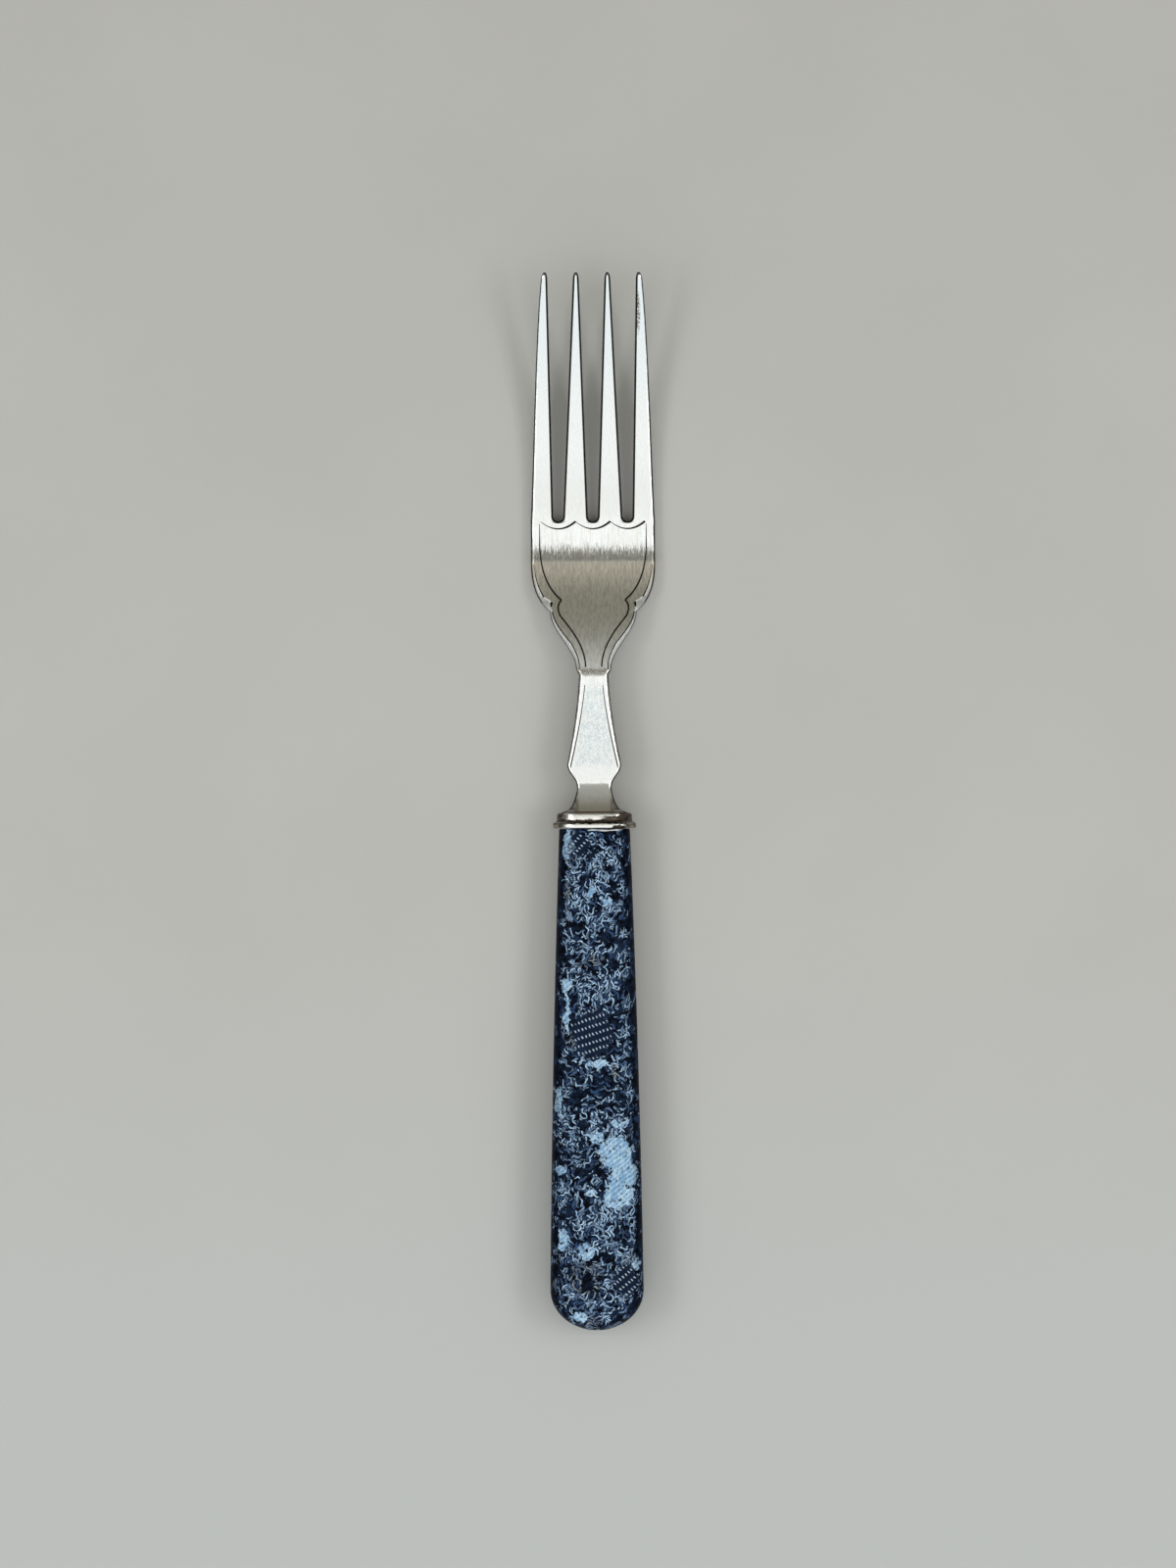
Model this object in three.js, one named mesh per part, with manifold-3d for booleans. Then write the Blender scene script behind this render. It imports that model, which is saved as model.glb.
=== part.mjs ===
// Dessert fork lying face up: a forged head with four tines, a ferrule and a moulded composite handle.
// Millimetres. +Y runs from the butt to the tips and +Z is up.
// The origin is under the middle of the fork, on the table that it lies on.

import * as THREE from 'three';
import { mergeVertices } from 'three/addons/utils/BufferGeometryUtils.js';
import Module from 'manifold-3d';

const wasm = await Module();
wasm.setup();
const { lerp } = THREE.MathUtils;

// Lengths along the fork, from the butt up to the tips
const HANDLE_LENGTH = 89.2;
const FERRULE_LENGTH = 1.0;
const BOLSTER_LENGTH = 1.7;
const FOOT_LENGTH = 4.2;
const SCOTIA_LENGTH = 4.4;
const PANEL_LENGTH = 15.9;
const LOWER_BLADE_LENGTH = 11.3;
const SHOULDER_LENGTH = 8.5;
const WEB_LENGTH = 7.6;
const TINE_LENGTH = 44.0;

// Handle: a tapered bar with a rounded section and a half-elliptical butt
const HANDLE_TOP_WIDTH = 12.6;
const HANDLE_TOP_THICKNESS = 8.2;
const HANDLE_BUTT_WIDTH = 16.6;
const HANDLE_BUTT_THICKNESS = 10.6;
const HANDLE_CORNER_RADIUS = 3.2;
const HANDLE_BOW = 0.25;
const BUTT_ROUND_LENGTH = 7.3;
const BUTT_BLUNTNESS = 0.25;
const BUTT_FULLNESS = 4;

// Ferrule and bolster stand proud of the handle's top section all round
const FERRULE_OVERHANG = 1.15;
const BOLSTER_OVERHANG = 0.35;
const FERRULE_FULLNESS = 3;
const BOLSTER_FULLNESS = 5;

// Tang, the cement cured around it, and clearances
const TANG_ROOT_SIDE = 3.0;
const TANG_TIP_SIDE = 1.8;
const TANG_LENGTH = 58.0;
const CEMENT_WALL = 0.45;
const CEMENT_END = 1.2;
const FIT_GAP = 0.3;
const SEAT_GAP = 0.1;

// Neck
const WAIST_WIDTH = 6.1;
const PANEL_WIDTH = 9.6;
const NECK_WIDTH = 5.2;
const NECK_THICKNESS = 4.4;
const NECK_STEP = 0.9;

// Blade and tines
const BLADE_ROOT_WIDTH = 6.2;
const LOBE_WIDTH = 15.4;
const BLADE_THICKNESS = 2.3;
const BELLY_SETBACK = 4.2;
const TINE_COUNT = 4;
const OUTER_TINE_WIDTH = 4.0;
const SLOT_PITCH = 6.19;
const SLOT_ROOT_WIDTH = 1.75;
const SLOT_TIP_WIDTH = 4.6;
const TIP_PITCH = 5.58;
const TIP_THICKNESS = 1.2;
const TIP_HEIGHT = 12.5;
const TIP_SLOPE = 0.42;
const TIP_ROUND_LENGTH = 1.2;
const TIP_BLUNTNESS = 0.3;

// Width of the bevel along the edges of the head, and how steeply it falls
const FOOT_BEVEL = 1.6;
const WAIST_BEVEL = 0.4;
const PANEL_BEVEL = 0.4;
const NECK_BEVEL = 0.5;
const LOWER_BLADE_BEVEL = 1.1;
const LOBE_BEVEL = 0.4;
const NOTCH_BEVEL = 1.8;
const SHOULDER_BEVEL = 1.05;
const SIDE_BEVEL = 0.45;
const TIP_BEVEL = 0.12;
const NOTCH_RISE = 1.9;
const NOTCH_MOUTH = 0.7;
const BEVEL_SLOPE = 0.6;

// How far along its span each curve keeps to its first direction
const FOOT_EASE = 0.3;
const FOOT_RISE = 0.6;
const FOOT_RUN_OUT = 0.4;
const SCOTIA_EASE = 0.5;
const SCOTIA_LIP = 0.1;
const PANEL_EASE = 0.55;
const PANEL_SWELL = 0.15;
const LOBE_EASE = 0.35;
const SHOULDER_EASE = 0.3;
const TINE_EASE = 0.23;
const TINE_TUCK = 0.25;
const TINE_SWELL = 0.44;
const BELLY_EASE = 0.36;
const NECK_DROP = 0.22;

// Steps that round forms are drawn with
const CURVE_STEPS = 24;
const CORNER_STEPS = 5;
const BEAD_STEPS = 6;
const BUTT_STEPS = 8;
const BOW_STEPS = 4;
const BORE_STEPS = 24;
const ROUND_STEPS = 4;
const ROW_LENGTH = 1.0;
const TINE_ROW_LENGTH = 3.0;
const ROUNDEST_CORNER = 0.95;

// Places along Y
const headLength = FOOT_LENGTH + SCOTIA_LENGTH + PANEL_LENGTH + LOWER_BLADE_LENGTH
  + SHOULDER_LENGTH + WEB_LENGTH + TINE_LENGTH;
const jointLength = SEAT_GAP + FERRULE_LENGTH + SEAT_GAP + BOLSTER_LENGTH;
const yButt = -(HANDLE_LENGTH + jointLength + headLength) / 2;
const yButtStart = yButt + BUTT_ROUND_LENGTH;
const yHandle = yButt + HANDLE_LENGTH;
const yFerrule = yHandle + SEAT_GAP;
const yBolster = yFerrule + FERRULE_LENGTH + SEAT_GAP;
const yFoot = yBolster + BOLSTER_LENGTH;
const yWaist = yFoot + FOOT_LENGTH;
const yPanel = yWaist + SCOTIA_LENGTH;
const yNeck = yPanel + PANEL_LENGTH;
const yNeckStep = yNeck + NECK_STEP;
const yLobe = yNeck + LOWER_BLADE_LENGTH;
const yNotch = yLobe + NOTCH_RISE;
const yShoulder = yLobe + SHOULDER_LENGTH;
const yRoot = yShoulder + WEB_LENGTH;
const yBelly = yRoot - BELLY_SETBACK;
const yTip = yRoot + TINE_LENGTH;
const yTangTip = yBolster - TANG_LENGTH;
const yCementEnd = yTangTip - FIT_GAP - CEMENT_END;

// Sections that fit one another
const ferruleHalf = sectionAround(FERRULE_OVERHANG);
const bolsterHalf = sectionAround(BOLSTER_OVERHANG);
const axisHeight = Math.max(HANDLE_BUTT_THICKNESS / 2, ferruleHalf.height);
const cementRadius = TANG_ROOT_SIDE / Math.SQRT2 + FIT_GAP + CEMENT_WALL;
const boreRadius = cementRadius + FIT_GAP;
const outerSlot = (TINE_COUNT - 2) / 2 * SLOT_PITCH;
const bladeHalfWidth = outerSlot + SLOT_ROOT_WIDTH / 2 + OUTER_TINE_WIDTH;
const tipHalfWidth = (TINE_COUNT - 1) / 2 * TIP_PITCH + (TIP_PITCH - SLOT_TIP_WIDTH) / 2;

// Half width, half height and corner radius of a section that is wider than the handle's top by overhang
function sectionAround(overhang) {
  return {
    width: HANDLE_TOP_WIDTH / 2 + overhang,
    height: HANDLE_TOP_THICKNESS / 2 + overhang,
    radius: HANDLE_CORNER_RADIUS + overhang,
  };
}

// A ring runs over its top from left to right, then back underneath
function point(x, y, z) {
  return new THREE.Vector3(x, y, z);
}

function squareRing(side, y) {
  const half = side / 2;
  return [
    point(-half, y, axisHeight + half),
    point(half, y, axisHeight + half),
    point(half, y, axisHeight - half),
    point(-half, y, axisHeight - half),
  ];
}

function roundRing(radius, y) {
  return Array.from({ length: BORE_STEPS }, (_, i) => {
    const angle = -2 * Math.PI * i / BORE_STEPS;
    return point(radius * Math.cos(angle), y, axisHeight + radius * Math.sin(angle));
  });
}

// A rectangle with round corners, the radius limited by the section itself
function roundedRing(halfWidth, halfHeight, radius, y) {
  const r = Math.min(radius, ROUNDEST_CORNER * halfWidth, ROUNDEST_CORNER * halfHeight);
  const corners = [[-1, 1], [1, 1], [1, -1], [-1, -1]];
  const ring = [];
  corners.forEach(([sideX, sideZ], corner) => {
    for (let i = 0; i <= CORNER_STEPS; i += 1) {
      const angle = Math.PI - (corner + i / CORNER_STEPS) * Math.PI / 2;
      const x = sideX * (halfWidth - r) + r * Math.cos(angle);
      const z = sideZ * (halfHeight - r) + r * Math.sin(angle);
      ring.push(point(x, y, axisHeight + z));
    }
  });
  return ring;
}

// Triangles that join each ring to the next one up the fork
function walls(rings) {
  const triangles = [];
  for (let j = 0; j + 1 < rings.length; j += 1) {
    const low = rings[j];
    const high = rings[j + 1];
    low.forEach((corner, i) => {
      const next = (i + 1) % low.length;
      triangles.push(corner, low[next], high[next], corner, high[next], high[i]);
    });
  }
  return triangles;
}

function cap(ring, facesUp) {
  const middle = new THREE.Vector3();
  ring.forEach((corner) => middle.addScaledVector(corner, 1 / ring.length));
  return ring.flatMap((corner, i) => {
    const next = ring[(i + 1) % ring.length];
    return facesUp ? [middle, corner, next] : [middle, next, corner];
  });
}

function loft(rings) {
  return solid([...cap(rings[0], false), ...walls(rings), ...cap(rings.at(-1), true)]);
}

// A closed solid from a list of triangle corners
function solid(corners) {
  const geometry = mergeVertices(new THREE.BufferGeometry().setFromPoints(corners));
  return new wasm.Manifold(new wasm.Mesh({
    numProp: 3,
    vertProperties: new Float32Array(geometry.getAttribute('position').array),
    triVerts: new Uint32Array(geometry.getIndex().array),
  }));
}

function namedMesh(name, body, material) {
  const { vertProperties, triVerts } = body.getMesh();
  const geometry = new THREE.BufferGeometry();
  geometry.setAttribute('position', new THREE.BufferAttribute(vertProperties, 3));
  geometry.setIndex(new THREE.BufferAttribute(triVerts, 1));
  geometry.computeVertexNormals();
  const mesh = new THREE.Mesh(geometry, material);
  mesh.name = name;
  return mesh;
}

// The x of a path where it passes a given y; every path here climbs steadily along Y
function across(points, y) {
  const found = points.findIndex((p) => p.y >= y);
  const next = found < 0 ? points.length - 1 : Math.max(found, 1);
  const [below, above] = [points[next - 1], points[next]];
  return THREE.MathUtils.mapLinear(y, below.y, above.y, below.x, above.x);
}

// Half of the head's outline seen from above, from the bolster to the tips
function outlinePoints() {
  const footHalfWidth = bolsterHalf.width - BOLSTER_LENGTH / 2;
  const waist = WAIST_WIDTH / 2;
  const panel = PANEL_WIDTH / 2;
  const neck = NECK_WIDTH / 2;
  const bladeRoot = BLADE_ROOT_WIDTH / 2;
  const lobe = LOBE_WIDTH / 2;
  const path = new THREE.Path();
  path.moveTo(footHalfWidth, yFoot);
  path.quadraticCurveTo(lerp(waist, footHalfWidth, FOOT_EASE), yFoot, waist, yWaist);
  path.bezierCurveTo(
    waist, lerp(yWaist, yPanel, SCOTIA_EASE),
    lerp(panel, waist, SCOTIA_LIP), lerp(yPanel, yWaist, SCOTIA_EASE),
    panel, yPanel,
  );
  path.quadraticCurveTo(lerp(neck, panel, PANEL_SWELL), lerp(yPanel, yNeck, PANEL_EASE), neck, yNeck);
  path.lineTo(bladeRoot, yNeckStep);
  path.bezierCurveTo(
    bladeRoot, lerp(yNeckStep, yLobe, LOBE_EASE),
    lobe, lerp(yLobe, yNeckStep, LOBE_EASE),
    lobe, yLobe,
  );
  path.quadraticCurveTo(bladeHalfWidth, lerp(yLobe, yShoulder, SHOULDER_EASE), bladeHalfWidth, yShoulder);
  path.lineTo(bladeHalfWidth, yRoot);
  path.bezierCurveTo(
    lerp(bladeHalfWidth, tipHalfWidth, TINE_TUCK), lerp(yRoot, yTip, TINE_EASE),
    lerp(bladeHalfWidth, tipHalfWidth, TINE_SWELL), lerp(yTip, yRoot, TINE_EASE),
    tipHalfWidth, yTip,
  );
  return path.getPoints(CURVE_STEPS);
}

// Side view of the upper or the lower face: foot, level neck, belly and rising tines
function profilePoints(side, neckDrop, bellyHeight, tipHeight) {
  const foot = axisHeight + side * (bolsterHalf.height - BOLSTER_LENGTH / 2);
  const neck = axisHeight + side * NECK_THICKNESS / 2;
  const path = new THREE.Path();
  path.moveTo(foot, yFoot);
  path.quadraticCurveTo(lerp(neck, foot, FOOT_RISE), yFoot, neck, yWaist + FOOT_RUN_OUT);
  path.lineTo(neck, yNeck);
  path.bezierCurveTo(
    lerp(neck, bellyHeight, neckDrop), lerp(yNeck, yBelly, BELLY_EASE),
    bellyHeight, lerp(yBelly, yNeck, BELLY_EASE),
    bellyHeight, yBelly,
  );
  const reach = BELLY_EASE * (yTip - yBelly);
  path.bezierCurveTo(bellyHeight, yBelly + reach, tipHeight - TIP_SLOPE * reach, yTip - reach, tipHeight, yTip);
  return path.getPoints(CURVE_STEPS);
}

// Width of the bevel at each place where it changes, as x and y of a path
const bevelPoints = [
  [FOOT_BEVEL, yFoot],
  [WAIST_BEVEL, yWaist],
  [PANEL_BEVEL, yPanel],
  [NECK_BEVEL, yNeck],
  [NECK_BEVEL, yNeckStep],
  [LOWER_BLADE_BEVEL, (yNeck + yLobe) / 2],
  [LOBE_BEVEL, yLobe],
  [NOTCH_BEVEL, yNotch],
  [SHOULDER_BEVEL, yNotch + NOTCH_MOUTH],
  [SIDE_BEVEL, yShoulder],
  [SIDE_BEVEL, yRoot],
  [TIP_BEVEL, yTip],
].map(([width, y]) => new THREE.Vector2(width, y));
const outline = outlinePoints();
const upperFace = profilePoints(1, NECK_DROP, BLADE_THICKNESS, TIP_HEIGHT);
const lowerFace = profilePoints(-1, 0, 0, TIP_HEIGHT - TIP_THICKNESS);

// The head's section at y: half width, the flat face's half width, and four heights
function headSection(y) {
  const half = across(outline, y);
  const bevel = across(bevelPoints, y);
  const top = across(upperFace, y);
  const bottom = across(lowerFace, y);
  const fall = bevel * BEVEL_SLOPE;
  return { half, face: half - bevel, top, upper: top - fall, lower: bottom + fall, bottom };
}

// A slot's centre line, and half its width with the round root
function slotCentre(slot, y) {
  const along = Math.max(0, (y - yRoot) / TINE_LENGTH);
  return (slot - (TINE_COUNT - 2) / 2) * lerp(SLOT_PITCH, TIP_PITCH, along);
}

function slotHalfWidth(y) {
  const rise = Math.max(0, y - yRoot);
  const radius = SLOT_ROOT_WIDTH / 2;
  const short = Math.max(0, 1 - rise / radius);
  const straight = lerp(SLOT_ROOT_WIDTH, SLOT_TIP_WIDTH, rise / TINE_LENGTH) / 2;
  return straight * Math.sqrt(1 - short ** 2);
}

// The blade's section below the slots, with a line under each slot so that the tines grow from it
function bladeRing(y) {
  const { half, face, top, upper, lower, bottom } = headSection(y);
  const spread = face / headSection(yRoot).face;
  const lines = Array.from({ length: TINE_COUNT - 1 }, (_, slot) => slotCentre(slot, yRoot) * spread);
  const xs = [-face, ...lines, face];
  return [
    ...xs.map((x) => point(x, y, top)),
    point(half, y, upper),
    point(half, y, lower),
    ...xs.toReversed().map((x) => point(x, y, bottom)),
    point(-half, y, lower),
    point(-half, y, upper),
  ];
}

// One tine's section, bevelled on the fork's outside only and drawn in where the tip is round
function tineRing(tine, y) {
  const { half, face, top, upper, lower, bottom } = headSection(y);
  const isFirst = tine === 0;
  const isLast = tine === TINE_COUNT - 1;
  const left = isFirst ? -face : slotCentre(tine - 1, y) + slotHalfWidth(y);
  const right = isLast ? face : slotCentre(tine, y) - slotHalfWidth(y);
  const ring = [point(left, y, top), point(right, y, top)];
  if (isLast) {
    ring.push(point(half, y, upper), point(half, y, lower));
  }
  ring.push(point(right, y, bottom), point(left, y, bottom));
  if (isFirst) {
    ring.push(point(-half, y, lower), point(-half, y, upper));
  }
  const past = Math.max(0, 1 - (yTip - y) / TIP_ROUND_LENGTH);
  const kept = Math.sqrt(1 - (1 - TIP_BLUNTNESS ** 2) * past ** 2);
  const middle = point((left + right) / 2, y, (top + bottom) / 2);
  return ring.map((corner) => middle.clone().lerp(corner, kept));
}

// Evenly spaced rows that pass through every stop
function rowsThrough(stops, rowLength) {
  const ordered = [...new Set(stops)].sort((a, b) => a - b);
  const rows = [ordered[0]];
  ordered.slice(1).forEach((stop, i) => {
    const steps = Math.max(1, Math.round((stop - ordered[i]) / rowLength));
    for (let k = 1; k <= steps; k += 1) {
      rows.push(lerp(ordered[i], stop, k / steps));
    }
  });
  return rows;
}

// Rows that follow the quarter circle at a slot's root, or the one at a tip
function roundRows(start, radius, sign) {
  return Array.from({ length: ROUND_STEPS + 1 }, (_, i) => {
    const angle = Math.PI / 2 * i / ROUND_STEPS;
    return start + sign * radius * (1 - Math.cos(angle));
  });
}

// Blade and tines as one sheet, which starts inside the bolster
function headSheet() {
  const turns = bevelPoints.map((p) => p.y).filter((y) => y < yRoot);
  const bladeRows = rowsThrough([...turns, yBelly, yRoot], ROW_LENGTH);
  const start = bladeRing(yFoot).map((corner) => corner.clone().setY(yFoot - BOLSTER_LENGTH / 2));
  const bladeRings = [start, ...bladeRows.map(bladeRing)];
  const tineRows = rowsThrough([
    ...roundRows(yRoot, SLOT_ROOT_WIDTH / 2, 1),
    ...roundRows(yTip, TIP_ROUND_LENGTH, -1),
  ], TINE_ROW_LENGTH);
  const corners = [...cap(start, false), ...walls(bladeRings)];
  for (let tine = 0; tine < TINE_COUNT; tine += 1) {
    const rings = tineRows.map((y) => tineRing(tine, y));
    corners.push(...walls(rings), ...cap(rings.at(-1), true));
  }
  return solid(corners);
}

// A collar whose edge is round, and squarer the fuller it is
function bead({ width, height, radius }, y, length, fullness) {
  const round = length / 2;
  const rings = Array.from({ length: BEAD_STEPS + 1 }, (_, i) => {
    const climb = Math.sin(Math.PI * (i / BEAD_STEPS - 1 / 2));
    const crown = (1 - Math.abs(climb) ** fullness) ** (1 / fullness);
    const inset = round * (1 - crown);
    return roundedRing(width - inset, height - inset, radius - inset, y + round + round * climb);
  });
  return loft(rings);
}

// The tapered square tang, or the room around it
function tangBar(gap, yTop, yEnd) {
  return loft([squareRing(TANG_TIP_SIDE + 2 * gap, yEnd), squareRing(TANG_ROOT_SIDE + 2 * gap, yTop)]);
}

function forkHead() {
  const bolster = bead(bolsterHalf, yBolster, BOLSTER_LENGTH, BOLSTER_FULLNESS);
  const tang = tangBar(0, yBolster + BOLSTER_LENGTH / 2, yTangTip);
  return headSheet().add(bolster).add(tang);
}

function ferrule() {
  const side = TANG_ROOT_SIDE + 2 * FIT_GAP;
  const hole = loft([squareRing(side, yFerrule - FERRULE_LENGTH), squareRing(side, yFerrule + 2 * FERRULE_LENGTH)]);
  return bead(ferruleHalf, yFerrule, FERRULE_LENGTH, FERRULE_FULLNESS).subtract(hole);
}

// The half-elliptical end: full at the start of the round, blunt at the very butt
function buttRing(step) {
  const out = Math.sin(Math.PI / 2 * step / BUTT_STEPS);
  const blunted = 1 - BUTT_BLUNTNESS ** 2;
  const halfWidth = HANDLE_BUTT_WIDTH / 2 * Math.sqrt(1 - blunted * out ** 2);
  const halfHeight = HANDLE_BUTT_THICKNESS / 2 * (1 - blunted * out ** BUTT_FULLNESS) ** (1 / BUTT_FULLNESS);
  return roundedRing(halfWidth, halfHeight, HANDLE_CORNER_RADIUS, yButtStart - BUTT_ROUND_LENGTH * out);
}

// The tapered length: its sides bow out a little and its faces stay flat
function gripRing(step) {
  const along = step / BOW_STEPS;
  const bow = 4 * HANDLE_BOW * along * (1 - along);
  const halfWidth = lerp(HANDLE_BUTT_WIDTH, HANDLE_TOP_WIDTH, along) / 2 + bow;
  const halfHeight = lerp(HANDLE_BUTT_THICKNESS, HANDLE_TOP_THICKNESS, along) / 2;
  return roundedRing(halfWidth, halfHeight, HANDLE_CORNER_RADIUS, lerp(yButtStart, yHandle, along));
}

function handle() {
  const rings = [];
  for (let step = BUTT_STEPS; step > 0; step -= 1) {
    rings.push(buttRing(step));
  }
  for (let step = 0; step <= BOW_STEPS; step += 1) {
    rings.push(gripRing(step));
  }
  const bore = loft([roundRing(boreRadius, yCementEnd - FIT_GAP), roundRing(boreRadius, yFoot)]);
  return loft(rings).subtract(bore);
}

function tangCement() {
  const sleeve = loft([roundRing(cementRadius, yCementEnd), roundRing(cementRadius, yHandle)]);
  return sleeve.subtract(tangBar(FIT_GAP, yFoot, yTangTip - FIT_GAP));
}

function finish(color, roughness, metalness) {
  return new THREE.MeshStandardMaterial({ color, roughness, metalness });
}

const fork = new THREE.Group();
fork.add(namedMesh('fork_head', forkHead(), finish(0xcfcec8, 0.3, 1)));
fork.add(namedMesh('ferrule', ferrule(), finish(0xc4c1b8, 0.35, 1)));
fork.add(namedMesh('handle', handle(), finish(0x2b3a57, 0.45, 0)));
fork.add(namedMesh('tang_cement', tangCement(), finish(0xb9b3a2, 0.8, 0)));

export default fork;
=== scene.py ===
"""Looks of a dessert fork with a denim composite handle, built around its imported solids.

Metres. +Y runs from the butt to the tips, +Z is up, and the fork lies face up on a floor at z = 0.
"""

import math
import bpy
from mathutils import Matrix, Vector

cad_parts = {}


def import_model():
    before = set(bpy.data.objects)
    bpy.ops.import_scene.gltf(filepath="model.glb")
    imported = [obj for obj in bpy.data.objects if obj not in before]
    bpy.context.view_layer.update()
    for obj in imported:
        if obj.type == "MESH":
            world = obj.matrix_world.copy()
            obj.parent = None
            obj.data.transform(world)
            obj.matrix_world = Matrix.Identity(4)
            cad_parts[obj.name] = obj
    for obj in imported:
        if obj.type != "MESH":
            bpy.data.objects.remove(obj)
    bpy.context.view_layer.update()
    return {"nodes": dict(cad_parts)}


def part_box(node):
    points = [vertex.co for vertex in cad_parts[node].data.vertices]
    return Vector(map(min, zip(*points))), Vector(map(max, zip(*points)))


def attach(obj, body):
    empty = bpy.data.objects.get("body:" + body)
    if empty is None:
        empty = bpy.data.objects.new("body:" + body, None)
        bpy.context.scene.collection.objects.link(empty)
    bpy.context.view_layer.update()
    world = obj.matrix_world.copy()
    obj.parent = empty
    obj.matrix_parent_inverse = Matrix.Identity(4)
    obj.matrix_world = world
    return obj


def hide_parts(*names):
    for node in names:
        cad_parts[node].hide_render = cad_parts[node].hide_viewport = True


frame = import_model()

from types import SimpleNamespace

import bmesh
import bpy
import numpy as np
from mathutils import Vector

MM = 0.001

# Lengths along the fork that the solids' boxes don't give
SEAT_GAP = 0.1 * MM
BOLSTER_LENGTH = 1.7 * MM
FOOT_LENGTH = 4.2 * MM
SCOTIA_LENGTH = 4.4 * MM
PANEL_LENGTH = 15.9 * MM
LOWER_BLADE_LENGTH = 11.3 * MM
SHOULDER_LENGTH = 8.5 * MM
TINE_LENGTH = 44.0 * MM

# Handle: a tapered bar with a rounded section and a half-elliptical butt
HANDLE_TOP_WIDTH = 12.6 * MM
HANDLE_TOP_THICKNESS = 8.2 * MM
HANDLE_BUTT_WIDTH = 16.6 * MM
HANDLE_BUTT_THICKNESS = 10.6 * MM
HANDLE_CORNER_RADIUS = 3.2 * MM
HANDLE_BOW = 0.25 * MM
HANDLE_RIM = 0.25 * MM
BUTT_ROUND_LENGTH = 7.3 * MM
BUTT_BLUNTNESS = 0.1
BUTT_FULLNESS = 4
BORE_RADIUS = 3.17 * MM

# Ferrule and bolster stand proud of the handle's top section all round
FERRULE_OVERHANG = 1.15 * MM
BOLSTER_OVERHANG = 0.35 * MM
BOLSTER_LIP = 0.5 * MM
BOLSTER_LIP_HEIGHT = 0.45 * MM
BOLSTER_ROUND_WIDTH = 1.4 * MM
BOLSTER_ROUND_HEIGHT = 0.4 * MM
FERRULE_FULLNESS = 3
FERRULE_HOLE = 3.6 * MM
TANG_ROOT_SIDE = 3.0 * MM
TANG_TIP_SIDE = 1.8 * MM
TANG_CORNER = 0.2 * MM

# Neck
WAIST_WIDTH = 6.1 * MM
PANEL_WIDTH = 9.6 * MM
NECK_WIDTH = 5.2 * MM
NECK_THICKNESS = 4.4 * MM
NECK_STEP = 0.9 * MM
FOOT_RUN_OUT = 0.8 * MM

# Blade and tines
BLADE_ROOT_WIDTH = 6.2 * MM
LOBE_WIDTH = 15.4 * MM
BLADE_THICKNESS = 2.3 * MM
BELLY_SETBACK = 4.2 * MM
TINE_COUNT = 4
SLOT_PITCH = 6.19 * MM
SLOT_ROOT_WIDTH = 1.75 * MM
SLOT_TIP_WIDTH = 4.6 * MM
TIP_PITCH = 5.58 * MM
TIP_THICKNESS = 1.2 * MM
TIP_HEIGHT = 12.5 * MM
TIP_SLOPE = 0.42
TIP_ROUND_LENGTH = 1.2 * MM
TIP_BLUNTNESS = 0.3

# Bevels along the head's edges, and the softer rims around them
FOOT_BEVEL = 2.1 * MM
FOOT_LIP = 1.6 * MM
WAIST_BEVEL = 0.4 * MM
PANEL_BEVEL = 0.4 * MM
NECK_BEVEL = 0.5 * MM
LOWER_BLADE_BEVEL = 1.1 * MM
LOBE_BEVEL = 0.4 * MM
NOTCH_BEVEL = 1.8 * MM
SHOULDER_BEVEL = 1.05 * MM
SIDE_BEVEL = 0.45 * MM
TIP_BEVEL = 0.3 * MM
NOTCH_RISE = 1.9 * MM
NOTCH_MOUTH = 0.7 * MM
BEVEL_SLOPE = 0.6
EDGE_SOFTNESS = 0.15 * MM
OUTER_SOFTNESS = 0.3 * MM
SLOT_RIM = 0.35 * MM

# Where the curves' handles lie, as shares of each curve's own span
FOOT_EASE = 0.3
FOOT_RISE = 0.6
SCOTIA_EASE = 0.5
SCOTIA_LIP = 0.1
PANEL_EASE = 0.55
PANEL_SWELL = 0.15
LOBE_EASE = 0.35
SHOULDER_EASE = 0.3
TINE_EASE = 0.23
TINE_TUCK = 0.25
TINE_SWELL = 0.44
BELLY_EASE = 0.36
NECK_DROP = 0.22

# Engraved lines: the control points of each one's curves on the right half, in millimetres of the frame
LINE_WIDTH = 0.37 * MM
LINE_DEPTH_SHARE = 0.8
SIDE_LINE = [
    ((9.5, 49.6), (9.5, 47.8), (9.5, 46.0)),
    ((9.5, 46.0), (9.4, 39.0), (5.67, 35.99)),
]
TAIL_LINE = [
    ((5.67, 35.99), (6.75, 34.9), (5.9, 33.2)),
    ((5.9, 33.2), (4.6, 31.4), (1.55, 28.3), (1.42, 24.0)),
]
PANEL_LINE = [((1.6, 20.8), (2.1, 15.0), (4.25, 6.1))]
PIT_LINE = [((7.42, 35.6), (7.5, 35.2), (7.55, 34.8))]
SCALLOP_REACH = 3.1 * MM
SCALLOP_SAG = 1.3 * MM

# A pale bead along the front of the joint only: cement squeezed out, and a painted highlight on the handle's
# top edge
BEAD_START = -1.3 * MM
BEAD_END = 5.0 * MM
BEAD_RADIUS = 0.17 * MM
BEAD_WANDER = 0.06 * MM
BEAD_TAPER = 0.4
BEAD_LUMPS = 17
BEAD_WAVES = 9

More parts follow.
